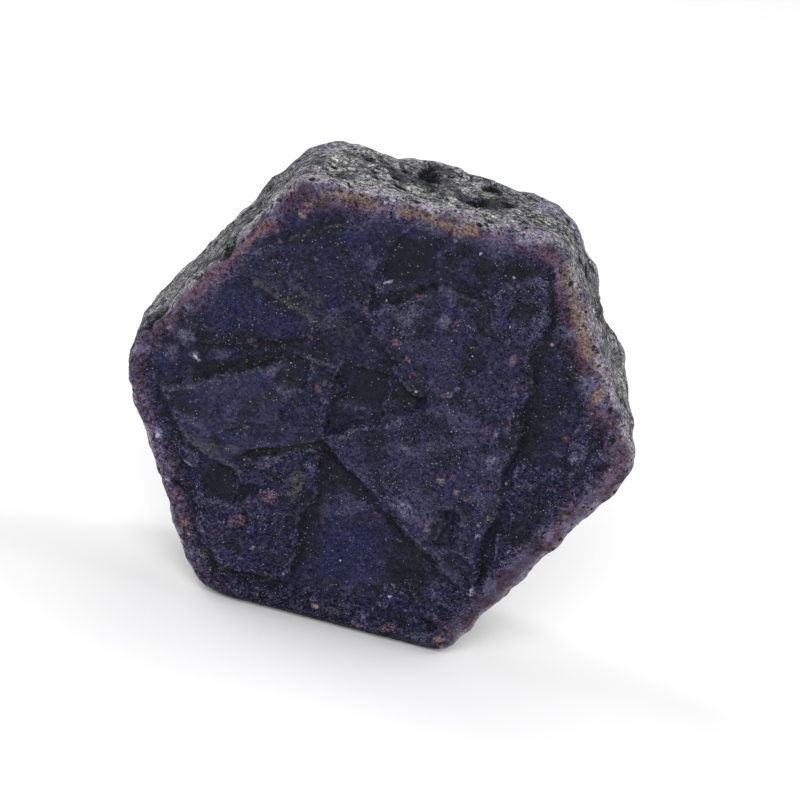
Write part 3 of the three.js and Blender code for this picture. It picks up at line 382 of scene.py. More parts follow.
# Lines of the front face: width, strength and path in x, z.
FRONT_LINES = {
    # Most dark lines are painted shade: along the bottom edge over the floor, at the feet and under
    # the edges of plate walls, and in grooves.
    "dark": [
        (1.7, 0.8, [(-16.8, 1.6), (-14.6, 0.3), (11.6, 0.2)]),
        (1.4, 0.5, [(19.6, 14.4), (17.0, 10.0), (14.4, 5.0), (13.0, 3.0)]),
        (0.35, 0.8, [(-12.3, 41.4), (-11.2, 40.2), (-10.2, 39.6)]),
        (0.5, 0.6, [(-16.6, 40.4), (-14.6, 38.6), (-13.0, 37.2), (-11.2, 36.4)]),
        (0.5, 0.6, [(-17.4, 34.4), (-16.0, 33.6), (-15.0, 33.0)]),
        (0.6, 0.6, [(-18.6, 32.8), (-17.4, 31.8), (-16.4, 31.6)]),
        (0.5, 0.6, [(-10.6, 38.2), (-9.4, 37.2), (-8.0, 36.0)]),
        (0.5, 0.7, [(-6.4, 39.2), (-5.8, 38.2), (-5.0, 37.4)]),
        (0.8, 0.6, [(-3.6, 38.4), (-2.0, 38.6), (-0.6, 39.0)]),
        (0.5, 0.7, [(-15.6, 20.4), (-14.2, 20.6), (-13.4, 21.4), (-12.0, 21.6)]),
        (0.5, 0.6, [(-16.4, 18.2), (-15.0, 18.8), (-13.6, 18.6)]),
        (0.9, 0.95, [(-20.6, 24.6), (-18.0, 25.8), (-16.0, 26.9), (-13.0, 28.4), (-11.2, 29.4),
            (-9.4, 29.2)]),
        (1.0, 0.9, [(-21.0, 28.9), (-18.5, 29.7), (-15.0, 30.2), (-12.5, 31.1), (-10.3, 31.2)]),
        (1.1, 0.85, [(-15.6, 41.8), (-13.0, 42.8), (-11.4, 44.0), (-10.0, 45.1), (-8.8, 45.8)]),
        (0.5, 0.7, [(-12.4, 40.6), (-10.4, 39.5)]),
        (0.8, 0.95, [(-3.8, 38.2), (-2.0, 39.0), (0.0, 40.3), (2.2, 41.2)]),
        (0.7, 0.85, [(-5.1, 24.8), (-5.4, 28.0), (-5.1, 30.6)]),
        (1.0, 0.95, [(-13.2, 17.5), (-10.4, 18.9), (-7.6, 20.2), (-6.0, 20.8)]),
        (0.7, 0.9, [(13.2, 46.0), (14.2, 44.0), (14.3, 42.4), (14.8, 40.4), (14.9, 37.0),
            (14.7, 33.0)]),
        (0.4, 1.0, [(8.8, 30.6), (9.6, 29.8), (10.8, 29.6)]),
        (0.5, 0.7, [(1.2, 26.0), (-1.6, 25.0), (-4.2, 22.8)]),
        (0.8, 0.8, [(-21.0, 18.0), (-19.4, 17.0), (-18.0, 16.1)]),
        (0.6, 0.9, [(-20.0, 12.4), (-18.5, 11.5)]),
        (0.5, 0.6, [(14.5, 24.0), (14.3, 18.0), (14.2, 12.0), (14.6, 9.8)]),
        (0.5, 0.55, [(2.9, 29.8), (4.0, 29.7), (5.6, 29.2)]),
        (0.4, 0.5, [(-8.4, 30.3), (-6.2, 30.4)]),
        (0.5, 0.5, [(-17.6, 37.0), (-14.6, 35.4), (-11.0, 33.9)]),
    ],
    "blue": [
        (1.4, 0.6, [(-17.6, 39.6), (-15.6, 43.8)]),
        (0.5, 0.6, [(-9.0, 27.9), (-7.0, 29.0), (-6.2, 29.7)]),
    ],
    "olive": [
        (0.8, 0.8, [(-16.4, 37.2), (-14.0, 36.1), (-10.4, 34.9), (-8.8, 34.0)]),
        (0.6, 0.7, [(-15.0, 38.6), (-12.4, 37.6), (-9.6, 36.4)]),
        (0.5, 0.6, [(-12.6, 39.2), (-10.4, 38.0), (-8.6, 36.2)]),
        (0.5, 0.5, [(-18.2, 38.3), (-16.0, 38.0), (-13.6, 38.6)]),
        (0.7, 0.9, [(-20.6, 18.6), (-18.6, 17.4), (-17.4, 17.0), (-16.8, 17.9)]),
        (0.4, 0.8, [(-16.5, 17.2), (-15.3, 16.0), (-14.0, 15.5), (-12.6, 15.0)]),
        (0.4, 0.7, [(0.0, 30.1), (1.2, 29.1), (2.4, 28.7)]),
        (0.4, 0.6, [(-8.8, 4.8), (-7.8, 3.9), (-7.0, 4.3)]),
    ],
    "lilac": [
        # Most lilac lines trace the edges of plates and domes and are painted highlights; the short
        # ones in the lower left are pale streaks.
        (0.5, 0.37, [(-23.2, 22.7), (-21.2, 23.6), (-19.6, 24.4), (-17.6, 25.2)]),
        (0.4, 0.31, [(-16.6, 26.5), (-14.6, 27.4), (-12.0, 28.8)]),
        (0.6, 0.31, [(-3.9, 20.9), (-1.8, 19.8), (0.2, 18.5), (1.9, 17.2), (2.3, 16.3)]),
        (0.4, 0.37, [(-21.8, 13.9), (-20.2, 13.0)]),
        (0.4, 0.43, [(-17.6, 11.8), (-16.3, 11.3)]),
        (0.4, 0.37, [(-16.9, 10.0), (-15.0, 8.6)]),
        (0.3, 0.5, [(-9.8, 7.3), (-8.6, 7.8)]),
        (0.35, 0.31, [(21.6, 33.0), (21.5, 30.0), (21.7, 27.2)]),
        (0.4, 0.31, [(1.4, 32.2), (2.4, 30.9), (4.0, 30.2), (6.0, 30.1)]),
        (0.4, 0.5, [(6.4, 30.0), (7.2, 31.1)]),
        (0.4, 0.37, [(13.2, 29.8), (13.7, 28.4), (13.9, 27.6)]),
        (0.5, 0.28, [(13.9, 32.8), (14.0, 30.4)]),
        (0.4, 0.31, [(14.0, 37.0), (14.1, 39.6), (13.6, 41.6)]),
        (0.5, 0.31, [(-4.0, 35.6), (-2.2, 34.6), (-1.2, 33.6)]),
        (0.6, 0.31, [(-24.6, 30.4), (-23.0, 33.0)]),
    ],
    "rose": [
        (1.0, 0.75, [(-23.4, 32.6), (-22.2, 34.8), (-20.4, 37.4), (-18.8, 39.8), (-16.4, 43.6)]),
        (0.6, 0.5, [(-24.2, 30.6), (-23.2, 32.8)]),
        (0.9, 0.55, [(-12.4, 47.3), (-9.4, 47.4), (-6.2, 47.9)]),
        (1.0, 0.6, [(11.2, 48.4), (13.4, 47.2), (14.8, 45.2)]),
        (0.5, 0.55, [(-24.4, 19.6), (-21.6, 13.6), (-18.6, 8.6), (-15.6, 3.2)]),
        (0.7, 0.6, [(26.6, 27.4), (24.0, 22.0), (20.8, 16.6), (17.4, 10.4), (14.0, 3.6)]),
        (0.5, 0.4, [(13.6, 24.6), (13.8, 21.8)]),
    ],
    "tan": [
        (1.0, 0.6, [(-11.6, 48.3), (-8.0, 48.6), (-6.2, 48.2)]),
        (0.9, 0.7, [(-3.4, 48.2), (-0.4, 48.2), (1.4, 47.9), (4.6, 48.4)]),
        (1.6, 0.7, [(15.0, 46.4), (16.8, 43.6), (18.4, 40.4), (19.6, 38.2)]),
        (0.7, 0.5, [(-19.6, 38.9), (-18.2, 40.8), (-16.4, 43.9)]),
    ],
    "white": [
        (0.35, 0.75, [(-3.2, 40.2), (-2.5, 40.5)]),
        (0.35, 0.6, [(-19.7, 15.1), (-18.6, 14.8)]),
    ],
}

# Spots of the front face: x, z, half width, half height, strength.
FRONT_SPOTS = {
    # Dark spots are partly painted shade in small hollows and under edges, and partly charcoal
    # patches of the stone.
    "dark": [
        (-9.4, 45.6, 0.8, 0.5, 0.9), (-12.6, 42.8, 0.6, 0.5, 1.0), (-8.0, 42.4, 0.6, 0.5, 0.8),
        (-8.0, 38.3, 0.5, 0.4, 0.6), (-6.4, 40.2, 1.6, 1.3, 0.4), (-10.5, 28.9, 0.5, 0.5, 1.0),
        (-24.0, 27.9, 1.0, 0.4, 0.7), (-7.3, 31.5, 1.2, 0.9, 0.6), (2.8, 44.8, 0.9, 0.9, 0.75),
        (6.2, 44.5, 1.0, 0.7, 0.7), (1.6, 43.0, 0.5, 0.5, 0.6), (5.6, 40.6, 1.2, 0.9, 0.75),
        (9.9, 43.6, 0.8, 0.6, 0.9), (11.4, 45.8, 1.0, 0.8, 0.55), (11.4, 41.0, 1.2, 1.1, 0.75),
        (10.3, 40.3, 0.5, 0.4, 0.7), (10.0, 37.8, 0.7, 0.6, 0.7), (11.4, 36.8, 0.9, 0.5, 0.55),
        (19.0, 35.0, 1.1, 1.0, 0.5), (24.0, 26.2, 0.8, 0.8, 0.7), (-22.7, 20.0, 0.8, 0.4, 0.8),
        (-21.2, 18.5, 0.5, 0.5, 0.8), (-14.0, 21.3, 0.7, 0.6, 0.6), (-13.6, 18.0, 0.5, 0.5, 0.6),
        (-5.8, 20.8, 0.9, 0.7, 1.0), (-12.6, 13.3, 0.75, 0.75, 1.0), (-9.4, 11.0, 0.9, 0.5, 0.7),
        (-16.5, 10.5, 1.5, 0.6, 0.65), (-8.0, 12.6, 0.6, 0.5, 0.4), (-15.6, 19.9, 0.7, 0.3, 0.5),
        (-22.6, 24.0, 1.2, 0.6, 0.5), (6.8, 19.2, 1.2, 0.6, 0.6), (12.3, 18.9, 0.5, 0.4, 0.75),
        (11.9, 13.8, 0.5, 0.5, 0.7), (14.5, 23.3, 0.7, 0.5, 0.8), (22.0, 20.6, 0.6, 0.4, 0.8),
        (15.4, 16.6, 1.4, 1.0, 0.6), (17.0, 17.8, 0.7, 0.6, 0.7), (19.9, 15.6, 0.7, 0.5, 0.8),
        (9.2, 24.7, 0.4, 0.3, 0.7), (2.4, 4.0, 0.6, 0.7, 0.5), (11.4, 1.6, 1.2, 0.5, 0.5),
        (8.5, 36.0, 0.5, 0.8, 0.35), (2.4, 34.7, 1.0, 0.7, 0.5), (-0.6, 31.6, 0.6, 0.8, 0.6),
        (-2.5, 33.2, 1.0, 0.6, 0.45), (20.3, 30.0, 0.5, 1.0, 0.35), (13.2, 22.0, 0.6, 0.5, 0.4),
    ],
    "blue": [
        (-14.3, 44.6, 1.1, 0.9, 1.0), (-14.2, 41.1, 0.7, 0.5, 1.0), (-8.2, 44.2, 1.1, 0.8, 0.9),
        (-4.4, 43.2, 0.9, 0.8, 0.7), (-22.5, 24.4, 1.0, 0.5, 1.0), (-21.6, 26.7, 1.0, 1.0, 1.0),
        (-19.0, 27.8, 1.0, 0.6, 0.7), (-8.4, 38.2, 1.4, 1.0, 0.5), (-12.0, 38.8, 1.2, 0.7, 0.5),
        (-15.4, 19.3, 1.3, 0.9, 0.9), (-10.2, 9.2, 0.8, 1.2, 0.7), (-6.9, 8.0, 0.8, 1.4, 0.6),
        (-7.4, 12.8, 1.0, 0.8, 0.5), (3.8, 36.2, 1.4, 1.0, 0.7), (6.3, 34.6, 0.9, 1.6, 0.6),
        (8.8, 36.4, 0.8, 0.8, 0.7), (8.2, 32.8, 0.8, 1.6, 0.6), (12.8, 38.4, 0.7, 0.8, 0.7),
        (3.4, 40.9, 0.7, 0.6, 0.5), (12.8, 43.6, 0.6, 0.9, 0.5), (6.4, 27.2, 0.9, 1.2, 0.6),
        (1.4, 24.6, 1.4, 0.8, 0.4), (11.7, 7.4, 0.7, 1.4, 0.7), (10.7, 9.4, 0.5, 0.3, 0.5),
        (13.4, 13.0, 0.5, 1.8, 0.6), (17.3, 11.6, 0.9, 1.3, 0.7), (18.0, 20.2, 1.2, 0.8, 0.6),
        (16.4, 27.0, 0.8, 0.5, 0.5), (16.8, 32.6, 0.8, 0.5, 0.4), (9.5, 15.0, 0.8, 0.8, 0.4),
        (-3.0, 25.6, 0.9, 0.6, 0.4), (20.4, 31.4, 0.6, 1.2, 0.5), (15.2, 13.4, 0.6, 0.8, 0.4),
    ],
    "olive": [
        (-7.0, 15.9, 0.9, 1.9, 0.9), (-9.2, 18.4, 1.0, 0.7, 0.6), (7.3, 12.1, 0.8, 0.5, 0.9),
        (6.4, 24.2, 1.4, 0.7, 0.6), (8.5, 17.4, 0.35, 0.4, 1.0), (11.6, 17.0, 0.5, 0.4, 0.7),
        (0.0, 2.2, 0.9, 0.6, 0.8), (-1.8, 25.0, 0.8, 0.6, 0.7), (-14.6, 36.9, 0.8, 0.4, 0.6),
        (17.2, 22.3, 1.3, 1.0, 0.5), (-14.8, 5.0, 0.9, 0.8, 0.6), (-12.8, 3.6, 1.2, 0.9, 0.5),
        (-7.6, 2.0, 1.4, 0.7, 0.5), (13.6, 36.9, 0.7, 0.7, 0.5), (11.4, 41.4, 0.6, 0.5, 0.4),
        (8.3, 12.1, 0.6, 0.6, 0.6), (5.4, 13.2, 0.9, 0.5, 0.4), (8.6, 38.6, 0.5, 0.5, 0.5),
        (-1.6, 36.8, 0.8, 0.5, 0.4), (7.6, 20.6, 0.8, 0.5, 0.5), (-3.6, 32.6, 0.7, 1.0, 0.5),
        (10.0, 23.6, 0.7, 0.9, 0.3), (9.0, 26.6, 1.2, 0.8, 0.4),
    ],
    "lilac": [
        (-20.9, 27.0, 0.9, 0.7, 0.6), (-22.2, 28.8, 1.6, 1.1, 0.55), (-23.4, 26.6, 1.0, 1.4, 0.5),
        (3.8, 38.1, 1.15, 1.15, 0.45), (-23.0, 17.2, 0.5, 0.9, 1.0), (-24.4, 19.0, 0.3, 0.3, 0.9),
        (-10.2, 7.2, 0.5, 0.3, 1.0), (-10.9, 9.1, 0.3, 0.3, 0.9), (-11.4, 5.9, 0.5, 0.3, 0.7),
        (-6.4, 5.3, 0.5, 0.25, 0.8), (-12.4, 44.0, 0.4, 0.25, 0.8), (-11.0, 41.1, 0.3, 0.3, 0.7),
        (14.1, 9.1, 0.35, 0.7, 1.0), (13.1, 15.4, 0.4, 0.5, 0.7), (10.6, 17.7, 1.3, 0.8, 0.4),
        (13.1, 16.8, 0.4, 0.3, 0.7), (21.0, 26.6, 0.8, 0.8, 0.5), (19.3, 26.4, 0.7, 0.9, 0.45),
        (3.4, 23.4, 1.2, 0.7, 0.4), (0.9, 24.9, 0.7, 0.4, 0.4), (12.6, 24.2, 0.5, 1.4, 0.55),
        (-6.5, 26.0, 0.5, 0.5, 0.5), (-8.8, 22.0, 0.8, 0.6, 0.3), (-12.2, 28.2, 0.8, 0.5, 0.4),
        (2.7, 1.2, 0.4, 0.2, 1.0), (-24.4, 29.3, 0.3, 0.3, 0.9), (8.6, 42.4, 0.6, 0.5, 0.4),
        (3.0, 46.7, 0.4, 0.4, 0.6), (9.5, 48.5, 1.2, 0.8, 0.7), (13.0, 32.0, 0.5, 0.4, 0.5),
        (10.3, 33.8, 0.3, 0.3, 0.6), (2.6, 33.4, 0.8, 0.7, 0.3), (-13.6, 39.6, 1.0, 0.4, 0.3),
        (-6.0, 43.2, 0.5, 0.8, 0.3), (-16.2, 32.4, 0.3, 0.3, 0.4), (4.6, 17.2, 0.9, 0.8, 0.3),
        (12.6, 27.6, 0.4, 0.5, 0.5), (17.0, 14.2, 0.25, 0.35, 0.8), (-2.2, 3.0, 1.0, 0.5, 0.5),
        (-3.4, 3.9, 0.5, 0.4, 0.5), (-11.2, 4.2, 0.4, 0.4, 0.5), (22.9, 24.2, 0.5, 1.0, 0.35),
        (23.9, 24.3, 0.3, 0.3, 0.8), (-25.2, 27.0, 0.6, 0.6, 0.4), (-25.0, 23.6, 0.6, 0.5, 0.4),
        (19.4, 13.2, 0.4, 0.7, 0.8), (16.8, 9.4, 0.4, 0.5, 0.8), (13.9, 4.2, 0.5, 0.9, 0.7),
        (8.6, 3.2, 0.7, 0.4, 0.4), (11.0, 3.6, 0.5, 0.7, 0.5), (20.9, 17.0, 0.5, 0.9, 0.8),
        (-6.0, 18.3, 0.9, 0.8, 0.4), (-10.0, 17.2, 1.2, 0.7, 0.35),
    ],
    "rose": [
        (-22.4, 34.0, 0.7, 0.8, 0.9), (-17.5, 42.6, 0.5, 0.4, 1.0), (-15.8, 43.0, 0.4, 0.3, 1.0),
        (-13.0, 46.1, 0.8, 0.7, 0.7), (-11.0, 46.4, 1.4, 0.5, 0.45), (-10.6, 45.6, 0.5, 0.4, 0.5),
        (-5.2, 48.5, 0.8, 0.5, 0.8), (-7.2, 27.3, 0.8, 0.6, 0.7), (-9.3, 32.1, 0.3, 0.5, 0.7),
        (-9.8, 13.9, 1.0, 1.0, 0.85), (-11.5, 12.7, 0.5, 0.5, 0.8), (-12.3, 10.0, 0.9, 0.9, 0.8),
        (-12.9, 17.0, 0.35, 0.2, 1.0), (-11.4, 16.8, 0.8, 0.5, 0.55), (-19.2, 10.6, 0.7, 0.7, 0.9),
        (-14.6, 8.2, 0.8, 0.6, 0.5), (-20.9, 14.4, 1.0, 0.5, 0.5), (-18.4, 12.6, 0.8, 0.5, 0.5),
        (-0.3, 34.3, 0.7, 0.5, 1.0), (5.3, 38.2, 0.35, 0.35, 1.0), (11.3, 27.6, 1.2, 0.9, 0.4),
        (12.2, 35.7, 0.5, 0.8, 0.7), (10.4, 44.0, 0.3, 0.3, 1.0), (19.5, 28.5, 0.6, 0.5, 0.7),
        (19.7, 22.6, 0.4, 0.6, 0.6), (21.0, 22.6, 0.4, 0.3, 0.7), (22.0, 21.6, 0.5, 0.4, 0.8),
        (11.0, 19.4, 0.5, 0.35, 0.9), (8.8, 21.1, 0.6, 0.4, 0.7), (13.4, 21.6, 0.5, 0.7, 0.5),
        (6.5, 1.7, 0.9, 0.6, 0.9), (3.4, 1.3, 1.2, 0.5, 0.6), (12.6, 4.0, 1.1, 0.8, 0.55),
        (4.0, 7.2, 0.9, 0.5, 0.45), (21.4, 33.2, 0.3, 0.9, 0.9), (19.6, 37.8, 0.5, 0.6, 0.7),
        (-1.0, 35.4, 0.5, 0.3, 0.6), (6.0, 29.8, 0.5, 0.3, 0.6), (0.9, 47.9, 0.9, 0.5, 0.6),
        (7.2, 48.2, 0.9, 0.4, 0.8), (-24.0, 29.0, 0.5, 0.5, 0.5), (2.4, 14.5, 0.4, 0.4, 0.5),
        (13.4, 28.8, 0.3, 0.6, 0.7), (13.9, 33.4, 0.4, 0.5, 0.5), (-17.2, 32.3, 0.8, 0.5, 0.35),
        (-17.9, 33.6, 0.6, 0.5, 0.35), (2.4, 31.6, 0.5, 0.4, 0.5), (24.9, 25.2, 0.5, 0.8, 0.6),
        (26.0, 27.6, 0.6, 1.6, 0.7), (-5.6, 2.4, 1.2, 0.5, 0.35), (-10.6, 1.6, 1.6, 0.5, 0.35),
    ],
    "tan": [
        (-9.8, 48.4, 1.1, 0.5, 1.0), (-13.4, 45.3, 0.5, 0.5, 0.8), (-12.9, 46.6, 0.6, 0.4, 0.7),
        (-1.4, 48.3, 0.9, 0.5, 0.8), (4.1, 48.2, 0.9, 0.5, 1.0), (17.0, 43.6, 0.7, 0.7, 0.7),
        (18.4, 40.4, 0.9, 0.8, 1.0), (20.2, 37.2, 0.5, 0.6, 0.6), (21.8, 34.2, 0.7, 0.9, 0.9),
        (15.4, 38.1, 0.35, 0.3, 0.9), (21.9, 20.1, 0.35, 0.6, 1.0), (-14.8, 29.9, 0.4, 0.3, 0.9),
        (-8.1, 19.6, 0.3, 0.3, 0.9), (-17.9, 8.0, 0.5, 0.5, 0.9), (-16.9, 7.0, 0.4, 0.4, 0.8),
        (-14.9, 4.9, 0.4, 0.3, 0.7), (-1.8, 2.2, 0.7, 0.5, 0.9), (12.2, 2.0, 0.9, 0.5, 0.8),
        (7.8, 20.4, 0.7, 0.4, 0.7), (9.7, 19.7, 0.4, 0.3, 0.6), (1.3, 33.0, 0.6, 0.4, 0.6),
        (-13.9, 20.7, 0.4, 0.3, 0.8), (13.9, 18.0, 0.3, 0.3, 0.8), (-8.0, 1.6, 0.5, 0.3, 0.5),
        (13.4, 3.2, 0.8, 0.8, 0.6), (7.8, 15.0, 0.4, 1.0, 0.5), (-4.7, 37.0, 0.5, 0.4, 0.5),
        (0.4, 39.9, 0.6, 0.3, 0.6), (-18.5, 40.6, 0.8, 0.5, 0.6), (2.9, 47.4, 0.8, 0.4, 0.6),
    ],
    "white": [
        # The white spots are partly pale inclusions and partly painted glints.
        (-20.9, 26.9, 0.32, 0.26, 1.0), (-20.5, 26.6, 0.24, 0.2, 0.9),
        (-18.7, 27.3, 0.22, 0.25, 0.7), (-22.8, 28.8, 0.25, 0.2, 0.6), (-8.6, 45.7, 0.2, 0.2, 0.7),
        (5.8, 46.0, 0.3, 0.25, 0.8), (5.6, 47.4, 0.2, 0.2, 0.6), (9.8, 44.4, 0.3, 0.2, 0.8),
        (2.9, 29.6, 0.25, 0.25, 0.9), (1.8, 15.9, 0.25, 0.25, 0.7), (-23.0, 17.0, 0.35, 0.5, 0.8),
        (-10.2, 7.2, 0.4, 0.2, 0.5), (5.7, 5.7, 0.3, 0.25, 0.9), (14.7, 21.9, 0.2, 0.3, 0.8),
        (23.0, 26.9, 0.2, 0.2, 0.8), (25.1, 26.2, 0.2, 0.2, 0.8), (8.8, 21.0, 0.2, 0.2, 0.7),
        (-6.5, 14.1, 0.3, 0.25, 0.6), (-2.5, 38.4, 0.2, 0.2, 0.8), (14.1, 9.1, 0.25, 0.5, 0.6),
        (-3.3, 33.3, 0.25, 0.2, 0.7), (0.2, 10.1, 0.2, 0.2, 0.5), (-20.9, 12.3, 0.4, 0.3, 0.7),
        (-1.9, 2.1, 0.3, 0.2, 0.5), (10.8, 26.5, 0.2, 0.2, 0.7), (-16.9, 26.6, 0.3, 0.15, 0.6),
        (21.5, 32.0, 0.2, 0.4, 0.7), (18.3, 40.4, 0.4, 0.3, 0.5), (-5.2, 48.7, 0.4, 0.25, 0.7),
        (17.5, 17.1, 0.2, 0.2, 0.6), (14.4, 18.0, 0.2, 0.2, 0.6),
    ],
}

# Spots of the prism sides: side, distance along it, y, half width along it, half length in y,
# strength.
SIDE_SPOTS = {
    "dark": [
        # Most dark spots of the sides are painted shade over the large pits; the long one on the
        # resting side, 4, is painted shade along its front edge, which faces the floor.
        (0, 3.0, -6.6, 4.4, 4.8, 0.85), (0, 15.0, -2.4, 11.0, 5.0, 0.45),
        (0, 9.5, -3.6, 5.0, 1.4, 0.5), (0, 21.0, 3.0, 4.0, 2.6, 0.5),
        (4, 14.0, -8.8, 15.0, 2.0, 1.0), (1, 11.0, 1.0, 5.0, 3.2, 0.7),
        (1, 19.0, 0.0, 4.0, 2.6, 0.8), (1, 14.0, 5.0, 3.4, 2.4, 0.7), (1, 6.5, 3.0, 2.4, 2.6, 0.6),
        (0, 12.0, -3.0, 3.0, 1.2, 0.8), (0, 18.0, -1.0, 3.6, 1.0, 0.6),
        (2, 12.0, 2.0, 2.6, 3.0, 0.6), (2, 6.0, 0.0, 2.4, 2.6, 0.4), (3, 14.0, 2.0, 4.0, 3.4, 0.4),
        (5, 12.0, -1.0, 3.4, 3.0, 0.4),
    ],
    "blue": [
        (0, 3.0, -6.4, 2.6, 2.8, 0.9), (1, 10.2, -3.4, 1.0, 0.8, 0.6),
        (1, 12.6, 7.6, 0.8, 1.2, 0.3),
    ],
    "olive": [
        (0, 9.6, 2.2, 2.0, 2.6, 0.6), (1, 9.0, -3.6, 3.6, 2.0, 0.5),
        (1, 15.4, -0.6, 2.6, 3.0, 0.4), (1, 22.6, 3.4, 2.2, 2.4, 0.7),
        (2, 8.0, 1.8, 2.6, 3.0, 0.6), (2, 19.6, 4.6, 2.4, 2.6, 0.5), (3, 10.0, 3.0, 3.4, 3.6, 0.6),
        (3, 22.0, 0.8, 3.0, 3.6, 0.5), (5, 9.0, 1.4, 3.4, 4.0, 0.6), (5, 20.4, 3.6, 3.0, 3.4, 0.5),
    ],
    "lilac": [
        (0, 7.0, -3.0, 5.0, 2.4, 0.5), (1, 26.6, 4.6, 2.0, 4.0, 1.0), (1, 1.2, 5.2, 1.4, 3.4, 0.8),
        (1, 24.8, -6.2, 3.0, 2.2, 0.8), (1, 17.4, -6.8, 2.4, 1.4, 0.6),
        (2, 2.6, 4.8, 2.0, 4.0, 0.8), (2, 11.0, -6.4, 6.0, 2.0, 0.6),
        (2, 17.0, -5.4, 5.0, 1.6, 0.5), (0, 26.6, 2.4, 1.6, 3.2, 0.7),
        (0, 14.8, 7.0, 2.4, 1.6, 0.5), (3, 3.4, -4.6, 2.0, 3.0, 0.7),
        (3, 16.4, -5.8, 3.6, 1.8, 0.6), (5, 4.0, 5.2, 2.2, 2.0, 0.6),
        (5, 16.8, -5.6, 3.0, 2.0, 0.6), (1, 6.6, 8.4, 1.4, 1.0, 0.4),
        (4, 14.0, 2.0, 4.0, 4.0, 0.5),
    ],
    "rose": [
        (0, 27.0, -6.0, 2.4, 1.8, 0.8), (1, 8.0, -2.0, 0.8, 1.0, 0.6),
        (1, 4.6, 9.0, 1.2, 0.9, 0.5), (1, 0.8, -5.0, 1.2, 2.6, 0.6), (2, 6.4, -7.2, 2.0, 1.0, 0.5),
        (5, 10.6, -7.0, 2.4, 1.0, 0.6), (3, 12.4, -7.2, 3.0, 1.0, 0.6),
        (2, 24.6, -6.4, 1.6, 1.6, 0.6),
    ],
    "tan": [
        (0, 12.6, 8.4, 0.9, 1.6, 0.9), (0, 14.4, 4.6, 0.8, 2.4, 0.5),
        (0, 17.6, 1.6, 0.7, 2.6, 0.6), (1, 11.4, 9.8, 0.8, 1.4, 0.8),
        (1, 21.0, -1.6, 0.5, 1.0, 0.5), (2, 15.0, -7.4, 1.6, 0.8, 0.5),
        (3, 6.0, 6.0, 1.4, 1.4, 0.5), (5, 13.0, 6.8, 1.2, 1.6, 0.5),
    ],
}

# Chance blotches of the back face: size in millimetres, the noise where they start and where they
# are full, strength, seed.
BACK_BLOTCHES = {
    "blue": (5.0, 0.05, 0.45, 1.0, 721),
    "dark": (4.0, 0.10, 0.42, 0.8, 722),
    "rose": (2.6, 0.30, 0.62, 0.7, 731),
    "tan": (3.0, 0.38, 0.66, 0.7, 732),
    "olive": (3.4, 0.24, 0.60, 0.6, 733),
    "lilac": (2.2, 0.26, 0.60, 0.7, 734),
}

# ---- Patterns and coats of the material -------------------------------------------------------

# Cloudy patterns: size of the lumps in millimetres, detail, roughness, distortion.
PATTERNS = {
    "breaking": (0.45, 3.0, 0.65, 0.0),
    "mottle": (1.5, 4.0, 0.6, 0.3),
    "fine mottle": (0.5, 3.0, 0.6, 0.0),
    "clouds": (2.7, 4.0, 0.6, 0.4),
    "blue clouds": (2.2, 4.0, 0.65, 0.0),
    "milky clouds": (3.6, 4.0, 0.6, 0.5),
    "rim patches": (3.0, 2.0, 0.55, 0.0),
    "fine lumps": (0.20, 2.0, 0.6, 0.0),
    "broad lumps": (0.9, 5.0, 0.7, 0.0),
}

# Cells of random numbers: size in millimetres, and how far their walls are bent, in sizes. The
# sand and dust of the grain are drawn as coarse as they need to be to show.
CELLS = {
    "flakes": (0.32, 0.5),
    "sand": (0.23, 0.6),
    "dust": (0.15, 0.0),
    "pinholes": (0.6, 0.7),
    "small holes": (0.9, 0.7),
    "large holes": (1.7, 0.7),
    "small glints": (0.27, 0.8),
    "large glints": (0.75, 0.8),
}

# Shares that follow a pattern or a mask: what they follow, its value at their start and end, and
# the share there.
SHARES = {
    "border": ("breaking", 0.30, 0.60, 0.50, 0.85),
    "rim": ("breaking", 0.30, 0.70, 0.16, 0.46),
    "crust": ("clouds", 0.44, 0.58, 0.20, 1.00),
    "grain": ("mottle", 0.40, 0.65, 0.15, 0.75),
    # These two shares place painted highlights along edges that stand out.
    "edge highlights": ("fine_hollow", -0.02, -0.10, 0.00, 0.52),
    "edge highlight grains": ("breaking", 0.42, 0.62, 0.00, 1.00),
    "swarms": ("clouds", 0.40, 0.60, -0.06, 0.15),
    "gloss": ("mottle", 0.35, 0.70, 0.42, 0.55),
}

# Coats of colour, each over the last: the colour, then as for the shares.
FACE_COATS = (
    ("blue", "blue clouds", 0.46, 0.66, 0.0, 0.60),
    ("charcoal", "clouds", 0.50, 0.62, 0.0, 0.75),
    ("milky", "milky clouds", 0.53, 0.66, 0.0, 0.60),
)
CRUST_COATS = (
    ("crust", "mottle", 0.34, 0.66, 0.0, 1.00),
    ("crust_dark", "clouds", 0.46, 0.58, 0.0, 0.45),
    ("mica", "flakes", 0.65, 1.00, 0.0, 0.30),
    ("crust_dark", "flakes", 0.34, 0.00, 0.0, 0.44),
)
BARE_COATS = (("rose", "mottle", 0.50, 0.66, 0.0, 1.00),)
RIM_COATS = (("lilac", "rim patches", 0.44, 0.58, 0.0, 1.00),)
# Painted shade in the hollows of the basal faces and in the pits of the crust.
HOLLOW_SHADE_COATS = (
    ("pit", "fine_hollow", 0.00, 0.12, 0.0, 0.36),
    ("pit", "broad_hollow", 0.05, 0.60, 0.0, 0.35),
    ("pit", "pit", 0.15, 0.60, 0.0, 0.92),
)

